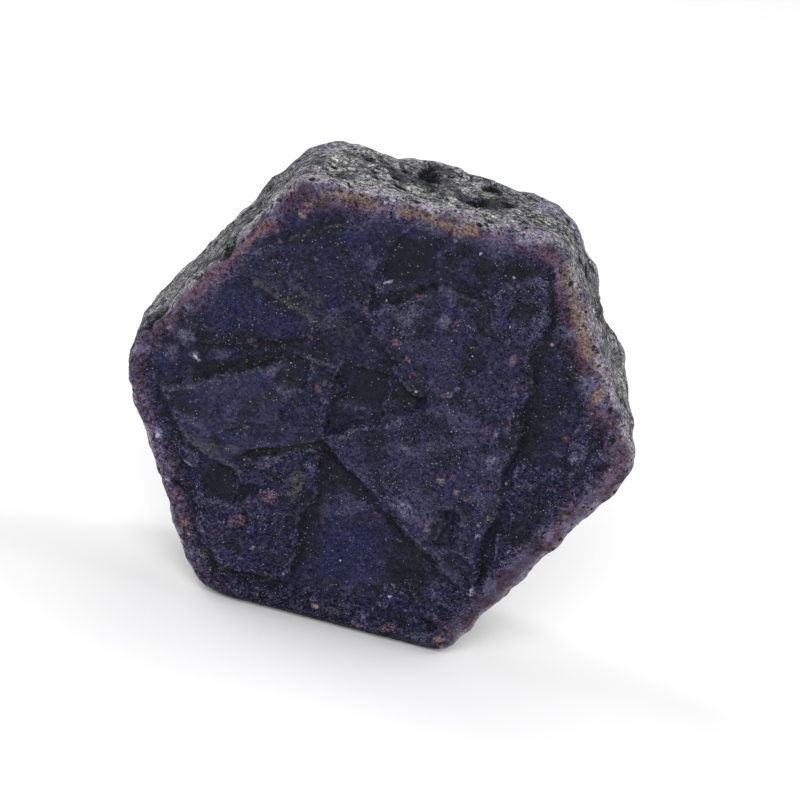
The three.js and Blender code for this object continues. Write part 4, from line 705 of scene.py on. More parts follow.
# Coats of the stains: the colour, how far grains break the stain's edge up, the mask where the
# coat starts and where it is full, and its share there. The dark coat is mostly painted shade,
# the lilac coat partly painted highlights, and the white coat partly painted glints.
STAIN_COATS = {
    "blue": ("blue", 0.30, 0.15, 0.95, 0.65),
    "olive": ("olive", 0.30, 0.16, 0.86, 0.50),
    "lilac": ("lilac", 0.30, 0.16, 0.86, 0.55),
    "rose": ("rose", 0.30, 0.16, 0.86, 0.50),
    "tan": ("tan", 0.26, 0.08, 0.96, 0.62),
    "dark": ("charcoal", 0.50, 0.12, 0.85, 0.88),
    "white": ("cream", 0.55, 0.35, 0.90, 0.60),
}

# Weights of the patterns that mottle the tone of the basal faces, and of those that make the grain.
MOTTLING = {"mottle": 2.0, "fine mottle": 0.7}
SPECKS = {"sand": 2.0, "fine mottle": 4.4, "dust": 2.9}
# Strength of the grain on fine skin, what coarse skin adds to it, how much of it the rim and the
# border take away, how much of that the crust does, how much paler it makes the skin on the whole,
# the darkest it gets, and its share of grey.
GRAIN_STRENGTH = 0.24
COARSE_STRENGTH = 0.66
CALM = 0.55
CRUST_CALM = 0.55
PALER = 0.02
DARKEST = -0.85
GREYED = 0.6

# Vesicles, whose holes are painted black as shade: the number a cell needs for one, what its
# zone adds to the number, the smallest radius and the range of radii, in cells, where the hole
# sets in and is full inside its radius, and how strongly its zone blackens it, up to a share.
HOLE_NUMBER = 0.92
HOLE_ZONE = 0.55
HOLE_RADIUS = 0.10
HOLE_RANGE = 0.30
HOLE_EDGE = (-0.015, 0.03)
HOLE_STRENGTH = 1.4
BLACKEST = 0.97

# Glints: the number a cell needs, size of the glint in cells, and its share of the colour at the
# lower and at the upper of the two levels. Coarse skin adds to the number. A glint fades out from
# a little inside its size to a little outside it.
GLINTS = {
    "small glints": (0.80, 0.20, 0.02, 0.50),
    "large glints": (1.04, 0.07, 0.00, 0.75),
}
GLINT_LEVELS = (0.1, 1.1)
COARSE_GLINTS = 0.22
GLINT_INSIDE = 0.05
GLINT_OUTSIDE = 0.07

# Relief finer than the mesh: its depth in millimetres, the weights of fine lumps and of flakes
# in it beside the broad lumps, and its strength on the waxy plates. Corundum's own index of
# refraction, its specular level under a weathered skin, the roughness of dull skin, and how dull
# the grain of a basal face is beside the crust.
BUMP_DEPTH = 0.36
FINE_LUMPS = 0.35
FLAKE_HEIGHT = 0.7
SHEEN_BUMP = 0.3
CORUNDUM_IOR = 1.77
SPECULAR = 0.06
DULL_ROUGHNESS = 0.62
GRAIN_DULLNESS = 0.8

# Sockets of a Mix node's two colours, and settings that many nodes share.
UNDER, OVER = 6, 7
IN_COLOUR = {"data_type": "RGBA"}
SMOOTH = {"interpolation_type": "SMOOTHSTEP"}


# ---- Repeatable noise -------------------------------------------------------------------------

MIXERS = (374761393, 668265263, 2246822519, 3266489917)


def scatter(cell, seed):
    """One number from 0 to 1 for every whole-numbered cell, by mixing the bits of its indices."""
    mixed = np.full(cell.shape[:-1], seed * MIXERS[3] % 2**32, dtype=np.uint32)
    for axis in range(cell.shape[-1]):
        mixed = mixed + cell[..., axis].astype(np.int64).astype(np.uint32) * np.uint32(MIXERS[axis])
        mixed = (mixed ^ (mixed >> np.uint32(15))) * np.uint32(MIXERS[2])
    mixed = (mixed ^ (mixed >> np.uint32(13))) * np.uint32(MIXERS[3])
    mixed = mixed ^ (mixed >> np.uint32(16))
    return mixed.astype(np.float64) / 2**32


def waves(points, size, seed):
    """Smooth noise from -1 to 1 with lumps of the given size: corner values of a unit lattice,
    blended over each cell by an eased weight."""
    place = points / size
    cell = np.floor(place)
    part = place - cell
    ease = part * part * part * (part * (part * 6 - 15) + 10)
    total = np.zeros(len(points))
    for corner in np.ndindex(*(2,) * points.shape[1]):
        step = np.array(corner)
        weight = np.prod(np.where(step == 1, ease, 1 - ease), axis=1)
        total += weight * (2 * scatter(cell + step, seed) - 1)
    return total


def stirred(values, points, parts, seed):
    """The values with waves added, one for each size and height in parts."""
    for number, (size, height) in enumerate(parts):
        values = values + height * waves(points, size, seed + number)
    return values


def layered(points, size, seed, layers=4, fall=0.55):
    """Waves of halving size added up, each weaker than the last by the factor fall."""
    total = np.zeros(len(points))
    strength = 1.0
    reach = 0.0
    for layer in range(layers):
        total += strength * waves(points, size / 2**layer, seed + layer)
        reach += strength
        strength *= fall
    return total / reach


def lumps(name, points, seed=0):
    """One kind of layered lumps, with the seed of its face added to its own."""
    size, height, own_seed, *layers = LUMPS[name]
    return height * layered(points, size, seed + own_seed, *layers)


def cells(points, size, seed):
    """Scattered centres, one to a cell: distance to the nearest, distance to the next, and one
    number from 0 to 1 that belongs to the nearest."""
    place = points / size
    home = np.floor(place)
    nearest = np.full(len(points), np.inf)
    second = np.full(len(points), np.inf)
    chance = np.zeros(len(points))
    for offset in np.ndindex(*(3,) * points.shape[1]):
        cell = home + np.array(offset) - 1
        shift = [scatter(cell, seed + 11 * axis) for axis in range(cell.shape[1])]
        distance = np.linalg.norm(place - (cell + np.stack(shift, axis=-1)), axis=1)
        closer = distance < nearest
        second = np.where(closer, nearest, np.minimum(second, distance))
        chance = np.where(closer, scatter(cell, seed + 77), chance)
        nearest = np.where(closer, distance, nearest)
    return nearest * size, second * size, chance


def eased(low, high, value):
    """0 below low, 1 above high, and a smooth step between."""
    share = np.clip((value - low) / (high - low), 0, 1)
    return share * share * (3 - 2 * share)


def faded(low, high, value):
    """1 below low, 0 above high, and a smooth step between."""
    return 1 - eased(low, high, value)


def soft_max(a, b, round_over):
    """The larger of two heights, with the edge between them rounded over."""
    return 0.5 * (a + b + np.sqrt((a - b) ** 2 + round_over**2))


def soft_min(a, b, round_over):
    """The smaller of two heights, with the edge between them rounded over."""
    return -soft_max(-a, -b, round_over)


# ---- The hexagon ------------------------------------------------------------------------------

CORNER_XZ = CORNERS[:, :2]
FRONT_RADII, BACK_RADII = CORNERS[:, 2], CORNERS[:, 3]
SPANS = np.roll(CORNER_XZ, -1, axis=0) - CORNER_XZ
LENGTHS = np.linalg.norm(SPANS, axis=1)
ALONG = SPANS / LENGTHS[:, None]
OUTWARD = np.stack([-ALONG[:, 1], ALONG[:, 0]], axis=1)
HALF_TURNS = 0.5 * np.arccos(np.sum(ALONG * np.roll(ALONG, 1, axis=0), axis=1))
# Share of a side's length over which a value changes to that of its neighbour.
CORNER_SHARE = 0.25


def side_place(turn):
    """The side that a turn is on, and the share of the side that lies behind it."""
    side = np.floor(turn).astype(int)
    return side % SIDES, turn - side


def outline(turn, backness):
    """Points and outward directions of the rounded hexagon. turn runs from 0 to 6, one unit to a
    side; near a corner a point moves on to an arc that touches both of its sides."""
    side, part = side_place(turn)
    u = part * LENGTHS[side]
    along = u.copy()
    inward = np.zeros_like(u)
    lean = np.zeros_like(u)
    for corner, distance, sign in ((side, u, 1), ((side + 1) % SIDES, LENGTHS[side] - u, -1)):
        radius = FRONT_RADII[corner] * (1 - backness) + BACK_RADII[corner] * backness
        reach = radius * np.tan(HALF_TURNS[corner])
        near = distance < reach
        angle = (1 - distance / reach) * HALF_TURNS[corner]
        moved = reach - radius * np.sin(angle)
        along = np.where(near, moved if sign > 0 else LENGTHS[side] - moved, along)
        inward = np.where(near, radius * (1 - np.cos(angle)), inward)
        lean = np.where(near, -sign * angle, lean)
    points = CORNER_XZ[side] + ALONG[side] * along[:, None] - OUTWARD[side] * inward[:, None]
    outward = OUTWARD[side] * np.cos(lean)[:, None] + ALONG[side] * np.sin(lean)[:, None]
    return points, outward


def by_side(values, turn):
    """The value of each side, blended over a quarter of a side's length at every corner."""
    side, part = side_place(turn)
    before = 0.5 * (values[side - 1] + values[side])
    after = 0.5 * (values[(side + 1) % SIDES] + values[side])
    start = np.clip(part / CORNER_SHARE, 0, 1)
    end = np.clip((1 - part) / CORNER_SHARE, 0, 1)
    return values[side] + (before - values[side]) * (1 - start) + (after - values[side]) * (1 - end)


def by_face(front_values, back_values, facing, turn):
    """The value of each side, taken from the front's list or the back's."""
    return np.where(facing == FRONT, by_side(front_values, turn), by_side(back_values, turn))


# ---- The grid of the skin ---------------------------------------------------------------------

def face_lattice(steps):
    """A triangular lattice that fills a hexagon: for every point its share of the way out from the
    middle, its turn round the outline, and the triangles, anticlockwise for a viewer who sees
    turn run clockwise. Returns also the indices of the rim in order of turn."""
    q, r = np.meshgrid(np.arange(-steps, steps + 1), np.arange(-steps, steps + 1), indexing="ij")
    s = -q - r
    inside = np.abs(s) <= steps
    index = np.full(q.shape, -1)
    index[inside] = np.arange(inside.sum())
    q, r, s = q[inside], r[inside], s[inside]
    ring = np.maximum(np.maximum(np.abs(q), np.abs(r)), np.abs(s))
    sectors = [
        (q > 0) & (r >= 0), (q <= 0) & (s < 0), (r > 0) & (s >= 0),
        (q < 0) & (r <= 0), (s > 0) & (q >= 0), (r < 0) & (s <= 0),
    ]
    side = np.select(sectors, range(SIDES), 0)
    walked = np.select(sectors, [r, -q, s, -r, q, -s], 0)
    turn = side + walked / np.maximum(ring, 1)
    a, b = index[:-1, :-1], index[1:, :-1]
    c, d = index[:-1, 1:], index[1:, 1:]
    upright = np.stack([a, c, b], axis=-1).reshape(-1, 3)
    inverted = np.stack([b, c, d], axis=-1).reshape(-1, 3)
    triangles = np.concatenate([upright, inverted])
    triangles = triangles[(triangles >= 0).all(axis=1)]
    rim = np.flatnonzero(ring == steps)
    rim = rim[np.argsort(turn[rim])]
    return ring / steps, turn, triangles, rim


def skin_grid(steps, rim_rows, side_rows):
    """All points of the crystal's skin as arrays, and its triangles. The two basal faces are
    lattices, and a strip of rows joins them: a worn rim, the prism side and a worn rim again.
    bend is 0 on a basal face and a quarter turn on the prism side."""
    share, turn, face_triangles, rim = face_lattice(steps)
    count = len(share)
    around = len(rim)
    quarter = math.pi / 2
    bends = np.arange(1, rim_rows) / rim_rows * quarter
    span = FACE_Y - RIM_DEPTH
    rows_bend = np.concatenate([bends, np.full(side_rows + 1, quarter), bends[::-1]])
    rows_y = np.concatenate([
        -FACE_Y + RIM_DEPTH * (1 - np.cos(bends)),
        np.linspace(-span, span, side_rows + 1),
        FACE_Y - RIM_DEPTH * (1 - np.cos(bends[::-1])),
    ])
    rows = len(rows_y)
    level = np.full(count, FACE_Y)
    flat = np.zeros(count)
    grid = (
        np.concatenate([share, np.ones(rows * around), share]),
        np.concatenate([turn, np.tile(turn[rim], rows), turn]),
        np.concatenate([flat, np.repeat(rows_bend, around), flat]),
        np.concatenate([-level, np.repeat(rows_y, around), level]),
    )
    strip = count + np.arange(rows * around).reshape(rows, around)
    back = count + rows * around
    here = np.concatenate([rim[None, :], strip, (back + rim)[None, :]])
    after = np.roll(here, -1, axis=1)
    first = np.stack([here[:-1], after[:-1], here[1:]], axis=-1).reshape(-1, 3)
    other = np.stack([after[:-1], after[1:], here[1:]], axis=-1).reshape(-1, 3)
    triangles = np.concatenate([face_triangles, first, other, back + face_triangles[:, ::-1]])
    return grid, triangles


# ---- Relief -----------------------------------------------------------------------------------

def edge_distance(x, z, points, closed=True):
    """Distance to a path of straight stretches; for a closed outline it is negative inside."""
    ends = np.array(points)
    starts = ends if closed else ends[:-1]
    stops = np.roll(ends, -1, axis=0) if closed else ends[1:]
    nearest = np.full(len(x), np.inf)
    inside = np.zeros(len(x), dtype=bool)
    for (ax, az), (bx, bz) in zip(starts, stops):
        run_x, run_z = bx - ax, bz - az
        walked = np.clip(((x - ax) * run_x + (z - az) * run_z) / (run_x**2 + run_z**2), 0, 1)
        nearest = np.minimum(nearest, np.hypot(x - ax - walked * run_x, z - az - walked * run_z))
        if az != bz:
            crosses = (az > z) != (bz > z)
            inside ^= crosses & (x < ax + (z - az) / (bz - az) * run_x)
    return np.where(inside, -nearest, nearest) if closed else nearest


def small_trigons(x, z, size, seed, point):
    """Small three-sided growth steps, 0 to 1 high. Every cell of a lattice holds a triangle whose
    tip points along -x (point -1) or +x (point 1); where triangles overlap, their steps add up."""
    place = np.stack([x * -point, z], axis=1) / size
    home = np.floor(place)
    total = np.zeros(len(x))
    # Of half the angle between two sides.
    cosine = 0.866
    for offset in np.ndindex(3, 3):
        cell = home + np.array(offset) - 1
        shift = np.stack([scatter(cell, seed), scatter(cell, seed + 5)], axis=1)
        reach = 0.22 + 0.42 * scatter(cell, seed + 9)
        dx, dz = (place - (cell + 0.15 + 0.7 * shift)).T
        legs = np.maximum(-0.5 * dx + cosine * dz, -0.5 * dx - cosine * dz)
        edge = np.maximum(dx, legs) - 0.5 * reach
        total += scatter(cell, seed + 13) * faded(-0.10, 0.10, edge)
    return total


def small_pits(points, pits, seed, more_luck=0.0):
    """Pits at scattered centres, from 0 beside them to their depth in the middle."""
    size, luck, full, end, depth = pits
    away, _, chance = cells(points, size, seed)
    return depth * (chance > luck - more_luck) * faded(full, end, away)


def face_relief(points, facing, turn, margin):
    """Height of a basal face over its ground, in millimetres, how pale its growth plates are and
    how grainy it is. The height is the ground with its grooves, then the highest of the plates,
    each with a sloping wall, then the sunken areas and the knobs, and last the fine steps and the
    grain."""
    plates, grooves, sunken, knobs, margins, seed = FACES[facing]
    # The outlines wander a little, as grown edges do.
    x = stirred(points[:, 0], points, OUTLINE_WAVES, seed)
    z = stirred(points[:, 2], points, OUTLINE_WAVES, seed + 2)
    height = lumps("ground", points, seed)
    tone = np.full(len(x), GROUND_TONE)
    grain = np.full(len(x), GROUND_GRAIN)
    for width, depth, path in grooves:
        near = edge_distance(x, z, path, closed=False)
        height = height - GROOVE_DEPTH * depth * faded(0.1 * width, 1.1 * width, near)
    worn = stirred(0.0, points, PLATE_WAVES, seed + 6)
    for level, paleness, roughness, shape in plates.values():
        beyond = edge_distance(x, z, shape)
        # The plate dips a little towards its edge before its wall starts.
        top = level + worn - PLATE_DIP * eased(*DIP_FADE, beyond)
        height = soft_max(height, top - np.maximum(beyond, 0) / WALL_RUN, EDGE_ROUND)
        inside = faded(*PLATE_FADE, beyond)
        tone = tone + (paleness - tone) * inside
        grain = grain + (roughness - grain) * inside
    for floor, shape in sunken.values():
        beyond = edge_distance(x, z, shape)
        height = soft_min(height, floor + np.maximum(beyond, 0) / WALL_RUN, EDGE_ROUND)
        grain = grain * eased(*SUNKEN_FADE, beyond)
    for knob_x, knob_z, radius, base, rise in knobs:
        away = np.hypot(x - knob_x, z - knob_z) / radius
        dome = base + rise * (1 - away**2)
        # Further out the dome is far below the face.
        height = np.where(away < 1.5, soft_max(height, dome, KNOB_ROUND), height)
    # Coarse grain near the rim.
    ragged = margin + lumps("ragged margin", points, seed)
    coarse = faded(*MARGIN_FADE, ragged / by_side(margins, turn))
    grain = np.maximum(grain, MARGIN_GRAIN * coarse)
    grain = np.clip(grain + lumps("patchy grain", points, seed), 0, 1)
    # Fine growth steps, waxy lumps and grain.
    steps = 0.0
    for number, (size, step) in enumerate(GROWTH_STEPS):
        steps = steps + step * small_trigons(x, z, size, seed + 30 + 10 * number, facing)
    height = height + steps - MEAN_STEP
    height = height + lumps("wax", points, seed) + lumps("broad wax", points, seed)
    size, rise = GRAINS
    nearest, _, chance = cells(points, size, seed + 60)
    bumps = rise * (0.5 - nearest / size) * (0.4 + 0.6 * chance)
    size, rise = GRIT
    height = height + grain * (bumps + rise * waves(points, size, seed + 64))
    pits = small_pits(points, FACE_PITS, seed + 80)
    height = height - pits * (1 + GRAINY_DEPTH / FACE_PITS[-1] * grain)
    return height, tone, grain


def side_distance(points, side, u, at_y, half_along, half_y, half_out=SIDE_REACH):
    """Distance of every point from a place on a prism side, as a share of the three half widths."""
    centre, _ = outline(np.array([side + u / LENGTHS[side]]), np.array([0.5]))
    dx, dz = points[:, 0] - centre[0, 0], points[:, 2] - centre[0, 1]
    along = dx * ALONG[side, 0] + dz * ALONG[side, 1]
    out = dx * OUTWARD[side, 0] + dz * OUTWARD[side, 1]
    lengthwise = (points[:, 1] - at_y) / half_y
    return np.sqrt((along / half_along) ** 2 + lengthwise**2 + (out / half_out) ** 2)


def side_relief(points, turn):
    """Height of the crust over the plain prism, and how deep its pits are: slow waviness,
    swellings, large pits, and a grain of lumps, flakes and small pits. The resting side only has
    shallow dents."""
    y = points[:, 1]
    side, part = side_place(turn)
    u = part * LENGTHS[side]
    way = side * 25 + u
    height = WANDER / 3 * sum(
        strength * np.sin(round_it * way + along_y * y + start)
        for strength, round_it, along_y, start in SIDE_WAVES
    )
    height = height * np.clip(np.minimum(u, LENGTHS[side] - u) / WAVE_MARGIN, 0, 1)
    for on_side, at_u, at_y, radius, rise in SWELLINGS:
        away = side_distance(points, on_side, at_u, at_y, radius, radius, radius)
        height = height + rise * np.exp(-(away**2))
    warp = stirred(0.0, points, PIT_WAVES, 301)
    pitted = np.zeros(len(points))
    for on_side, at_u, at_y, width, length, depth in PITS:
        away = side_distance(points, on_side, at_u, at_y, width / 2, length / 2)
        pitted = np.maximum(pitted, depth * faded(*PIT_FADE, away + warp))
    size, rise = FLAKES
    nearest, second, chance = cells(points, size, 320)
    flakes = rise * (chance - 0.5) * eased(0.0, 0.25, second - nearest)
    more_luck = PATCHY_LUCK * eased(*PATCH_FADE, waves(points, PIT_PATCHES, 333))
    holes = small_pits(points, CRUST_HOLES, 330, more_luck)
    pricks = small_pits(points, CRUST_PRICKS, 340, more_luck)
    height = height - pitted + lumps("crust", points) + flakes - holes - pricks + CRUST_RISE
    resting = 1 - np.clip(np.abs(turn - (RESTING_SIDE + 0.5)) / 0.5, 0, 1)
    resting = eased(0.0, 0.12, resting)
    lifted = EDGE_LIFT * faded(*EDGE_LIFT_FADE, y)
    flat = -np.abs(lumps("dents", points)) - RESTING_PITS * (holes + pricks) - lifted
    return height * (1 - resting) + flat * resting, pitted + holes + pricks


# ---- Masks of the stains, painted shade and painted highlights --------------------------------

def face_stain(x, z, kind):
    """Strength from 0 to 1 of one kind of mark on the front face, a stain, painted shade or a
    painted highlight: the strongest of its fields, lines and spots, each full in its middle and
    fading over its edge."""
    strength = np.zeros(len(x))
    for most, shape in FRONT_FIELDS.get(kind, ()):
        mark = most * faded(*FIELD_FADE, edge_distance(x, z, shape))
        strength = np.maximum(strength, mark)
    for width, most, path in FRONT_LINES.get(kind, ()):
        mark = most * faded(0.1 * width, width, edge_distance(x, z, path, closed=False))
        strength = np.maximum(strength, mark)
    for spot_x, spot_z, half_x, half_z, most in FRONT_SPOTS.get(kind, ()):
        away = np.hypot((x - spot_x) / half_x, (z - spot_z) / half_z)
        mark = most * faded(*SPOT_FADE, away)
        strength = np.maximum(strength, mark)
    return strength


def stains(points, side_part):
    """Masks of the stains and inclusions, by name; the dark masks also carry painted shade, and the
    lilac and white masks painted highlights and glints. The marks of the front face fade out behind
    its rim, and those of the sides fade out towards the basal faces."""
    x, y, z = points.T
    wandering = (
        stirred(x, points, FACE_STAIN_WAVES, 701), stirred(z, points, FACE_STAIN_WAVES, 703),
    )
    front = faded(*FRONT_STAIN_FADE, y)
    near = front > 0
    masks = {}
    for kind in FRONT_SPOTS:
        # White inclusions and painted glints are crisp, so they don't wander.
        place_x, place_z = (x, z) if kind == "white" else wandering
        masks[kind] = np.zeros(len(x))
        masks[kind][near] = front[near] * face_stain(place_x[near], place_z[near], kind)
    warp = stirred(0.0, points, SIDE_STAIN_WAVES, 711)
    for kind, spots in SIDE_SPOTS.items():
        for *spot, most in spots:
            away = side_distance(points, *spot) + warp
            mark = most * side_part * faded(*SIDE_SPOT_FADE, away)
            masks[kind] = np.maximum(masks[kind], mark)
    back = eased(*BACK_STAIN_FADE, y) * (1 - side_part)
    for kind, (size, start, full, most, seed) in BACK_BLOTCHES.items():
        blotches = back * most * eased(start, full, layered(points, size, seed, 4, 0.6))
        masks[kind] = np.maximum(masks[kind], blotches)
    return masks


# ---- Building the skin ------------------------------------------------------------------------

def worn_prism(share, turn, bend, y, facing):
    """Points of the worn hexagonal prism without relief, the surface's direction at each, and the
    distance from the face's rim. The worn rim is a quarter of an ellipse, RIM_DEPTH deep and as
    wide as the side's rim, with a little noise."""
    edge, outward = outline(turn, (y + FACE_Y) / (2 * FACE_Y))
    middle = edge - CENTRE
    reach = np.linalg.norm(middle, axis=1)
    # The noise is read in a plane of its own for each face.
    plane = np.stack([edge[:, 0], 40.0 * facing, edge[:, 1]], axis=1)
    widths = by_face(FRONT_RIM_WIDTHS, BACK_RIM_WIDTHS, facing, turn)
    widths = widths * (1 + lumps("rim width", plane))
    inset = widths * (1 - np.sin(bend))
    inner = middle * (1 - inset / reach)[:, None]
    place = CENTRE + inner * share[:, None]
    points = np.stack([place[:, 0], y, place[:, 1]], axis=1)
    lean_out = np.sin(bend) / widths
    lean_face = np.cos(bend) / RIM_DEPTH
    size = np.hypot(lean_out, lean_face)
    normals = np.stack([
        outward[:, 0] * lean_out / size, facing * lean_face / size, outward[:, 1] * lean_out / size,
    ], axis=1)
    return points, normals, (1 - share) * reach


def neighbour_mean(values, edges):
    """Mean of the values at the other ends of each point's edges."""
    count = len(values)
    a, b = edges.T
    degree = np.bincount(a, minlength=count) + np.bincount(b, minlength=count)
    columns = [
        np.bincount(a, column[b], count) + np.bincount(b, column[a], count) for column in values.T
    ]
    return np.stack(columns, axis=1) / degree[:, None]


def hollows(points, normals, triangles):
    """How deep each point lies below its near and its broad surroundings, which are the surface
    smoothed 4 times and 26 times."""
    edges = np.concatenate([triangles[:, [0, 1]], triangles[:, [1, 2]], triangles[:, [2, 0]]])
    edges = np.unique(np.sort(edges, axis=1), axis=0)
    smoothed = points
    depths = []
    for times in (4, 22):
        for _ in range(times):
            smoothed = neighbour_mean(smoothed, edges)
        depths.append(np.sum((smoothed - points) * normals, axis=1))
    return depths


def crystal_skin(steps, rim_rows, side_rows):
    """The skin's points in millimetres, its triangles and its masks. Every point starts on the
    worn hexagonal prism and moves out along the surface's own direction by the relief of the face,
    of the side, or of both on the rim, where bend blends them."""
    (share, turn, bend, y), triangles = skin_grid(steps, rim_rows, side_rows)
    facing = np.where(y < 0, FRONT, BACK)
    points, normals, margin = worn_prism(share, turn, bend, y, facing)
    sine = np.sin(bend)
    face_part = np.cos(bend) ** 2
    heights = np.zeros(len(y))
    masks = {"tone": np.full(len(y), 0.45), "grain": np.ones(len(y)), "pit": np.zeros(len(y))}
    for which in FACES:
        chosen = (facing == which) & (face_part > 1e-6)
        relief, tone, grain = face_relief(points[chosen], which, turn[chosen], margin[chosen])
        heights[chosen] = relief * eased(*RELIEF_FADE, margin[chosen]) * face_part[chosen]
        masks["tone"][chosen] = tone
        masks["grain"][chosen] = grain
    side_part = eased(0.0, 1.0, sine**2 + LAP * np.clip(1 - margin / LAP_WIDTH, 0, 1))
    crusty = side_part > 0
    relief, pitted = side_relief(points[crusty], turn[crusty])
    heights[crusty] += relief * side_part[crusty]
    masks["pit"][crusty] = np.clip(pitted / FULL_PIT, 0, 1) * side_part[crusty]
    # Crust: 0 on the basal faces, 1 on the prism sides; the boundary wanders over the rim.
    wander = stirred(0.0, points, CRUST_WAVES, 61)
    masks["crust"] = eased(*CRUST_FADE, sine + wander * sine**0.5)
    # The rim, and the bare border of the crust behind it.
    rim = np.exp(-((margin / RIM_GLOW) ** 2)) * faded(*RIM_FADE, sine - 0.2 * wander)
    masks["rim"] = rim * by_face(FRONT_BLEACH, BACK_BLEACH, facing, turn)
    behind = FACE_Y - np.abs(y) - BORDER_START + lumps("border", points)
    borders = by_face(FRONT_BORDERS, BACK_BORDERS, facing, turn)
    masks["border"] = masks["crust"] * faded(*BORDER_FADE, behind / borders)
    masks.update(stains(points, masks["crust"]))
    points = points + normals * heights[:, None]
    points[:, 2] = np.maximum(points[:, 2], 0)
    masks["fine_hollow"], masks["broad_hollow"] = hollows(points, normals, triangles)
    return points + CENTRING, triangles, masks


def surface_object(name, points, triangles, masks):
    """A mesh object from whole arrays, in metres, with one float attribute for each mask."""
    mesh = bpy.data.meshes.new(name)
    mesh.vertices.add(len(points))
    mesh.vertices.foreach_set("co", (points * MM).astype(np.float32).ravel())
    mesh.loops.add(triangles.size)
    mesh.loops.foreach_set("vertex_index", triangles.astype(np.int32).ravel())
    mesh.polygons.add(len(triangles))
    mesh.polygons.foreach_set("loop_start", np.arange(0, triangles.size, 3, dtype=np.int32))
    mesh.polygons.foreach_set("use_smooth", np.ones(len(triangles), dtype=bool))
    for mask, values in masks.items():
        layer = mesh.attributes.new(mask, "FLOAT", "POINT")
        layer.data.foreach_set("value", values.astype(np.float32))
    mesh.update(calc_edges=True)
    mesh.validate()
    piece = bpy.data.objects.new(name, mesh)
    bpy.context.scene.collection.objects.link(piece)
    return piece


# ---- Materials --------------------------------------------------------------------------------

def linear(hex_colour):
    """Linear red, green, blue and alpha 1 of an sRGB hex colour."""
    parts = [int(hex_colour[start:start + 2], 16) / 255 for start in (1, 3, 5)]
    bent = [part / 12.92 if part <= 0.04045 else ((part + 0.055) / 1.055) ** 2.4 for part in parts]
    return bent + [1.0]


def add_node(tree, kind, *inputs, named=None, **settings):
    """Adds a node, sets it up and feeds its inputs, in their order or by the name or number given
    in named: a socket is linked and anything else is the input's value. Returns the node's first
    output that is in use."""
    node = tree.nodes.new("ShaderNode" + kind)
    for setting, value in settings.items():
        setattr(node, setting, value)
    for key, value in {**dict(enumerate(inputs)), **(named or {})}.items():
        socket = node.inputs[key]
        if isinstance(value, bpy.types.NodeSocket):
            tree.links.new(value, socket)
        else:
            socket.default_value = value
    return next((output for output in node.outputs if output.enabled), None)


def texture_scale(size):
    """Scale of a texture whose cells are to be this many millimetres across."""
    return 1 / (size * MM)


def cell_numbers(add, place, size, bend):
    """Cells of the given size with walls bent by that share of it: two random numbers for each
    cell, and the distance from its middle."""
    if bend:
        swirl = add("TexNoise", named={
            "Vector": place, "Scale": texture_scale(size * 0.6), "Detail": 1.0, "Roughness": 0.55,
        }).node.outputs["Color"]
        swirl = add("VectorMath", swirl, (0.5, 0.5, 0.5), operation="SUBTRACT")
        swirl = add("VectorMath", swirl, named={"Scale": bend * size * MM}, operation="SCALE")
        place = add("VectorMath", place, swirl, operation="ADD")
    node = add("TexVoronoi", named={"Vector": place, "Scale": texture_scale(size)}).node
    numbers = add("SeparateColor", node.outputs["Color"]).node.outputs
    return numbers["Red"], numbers["Green"], node.outputs["Distance"]


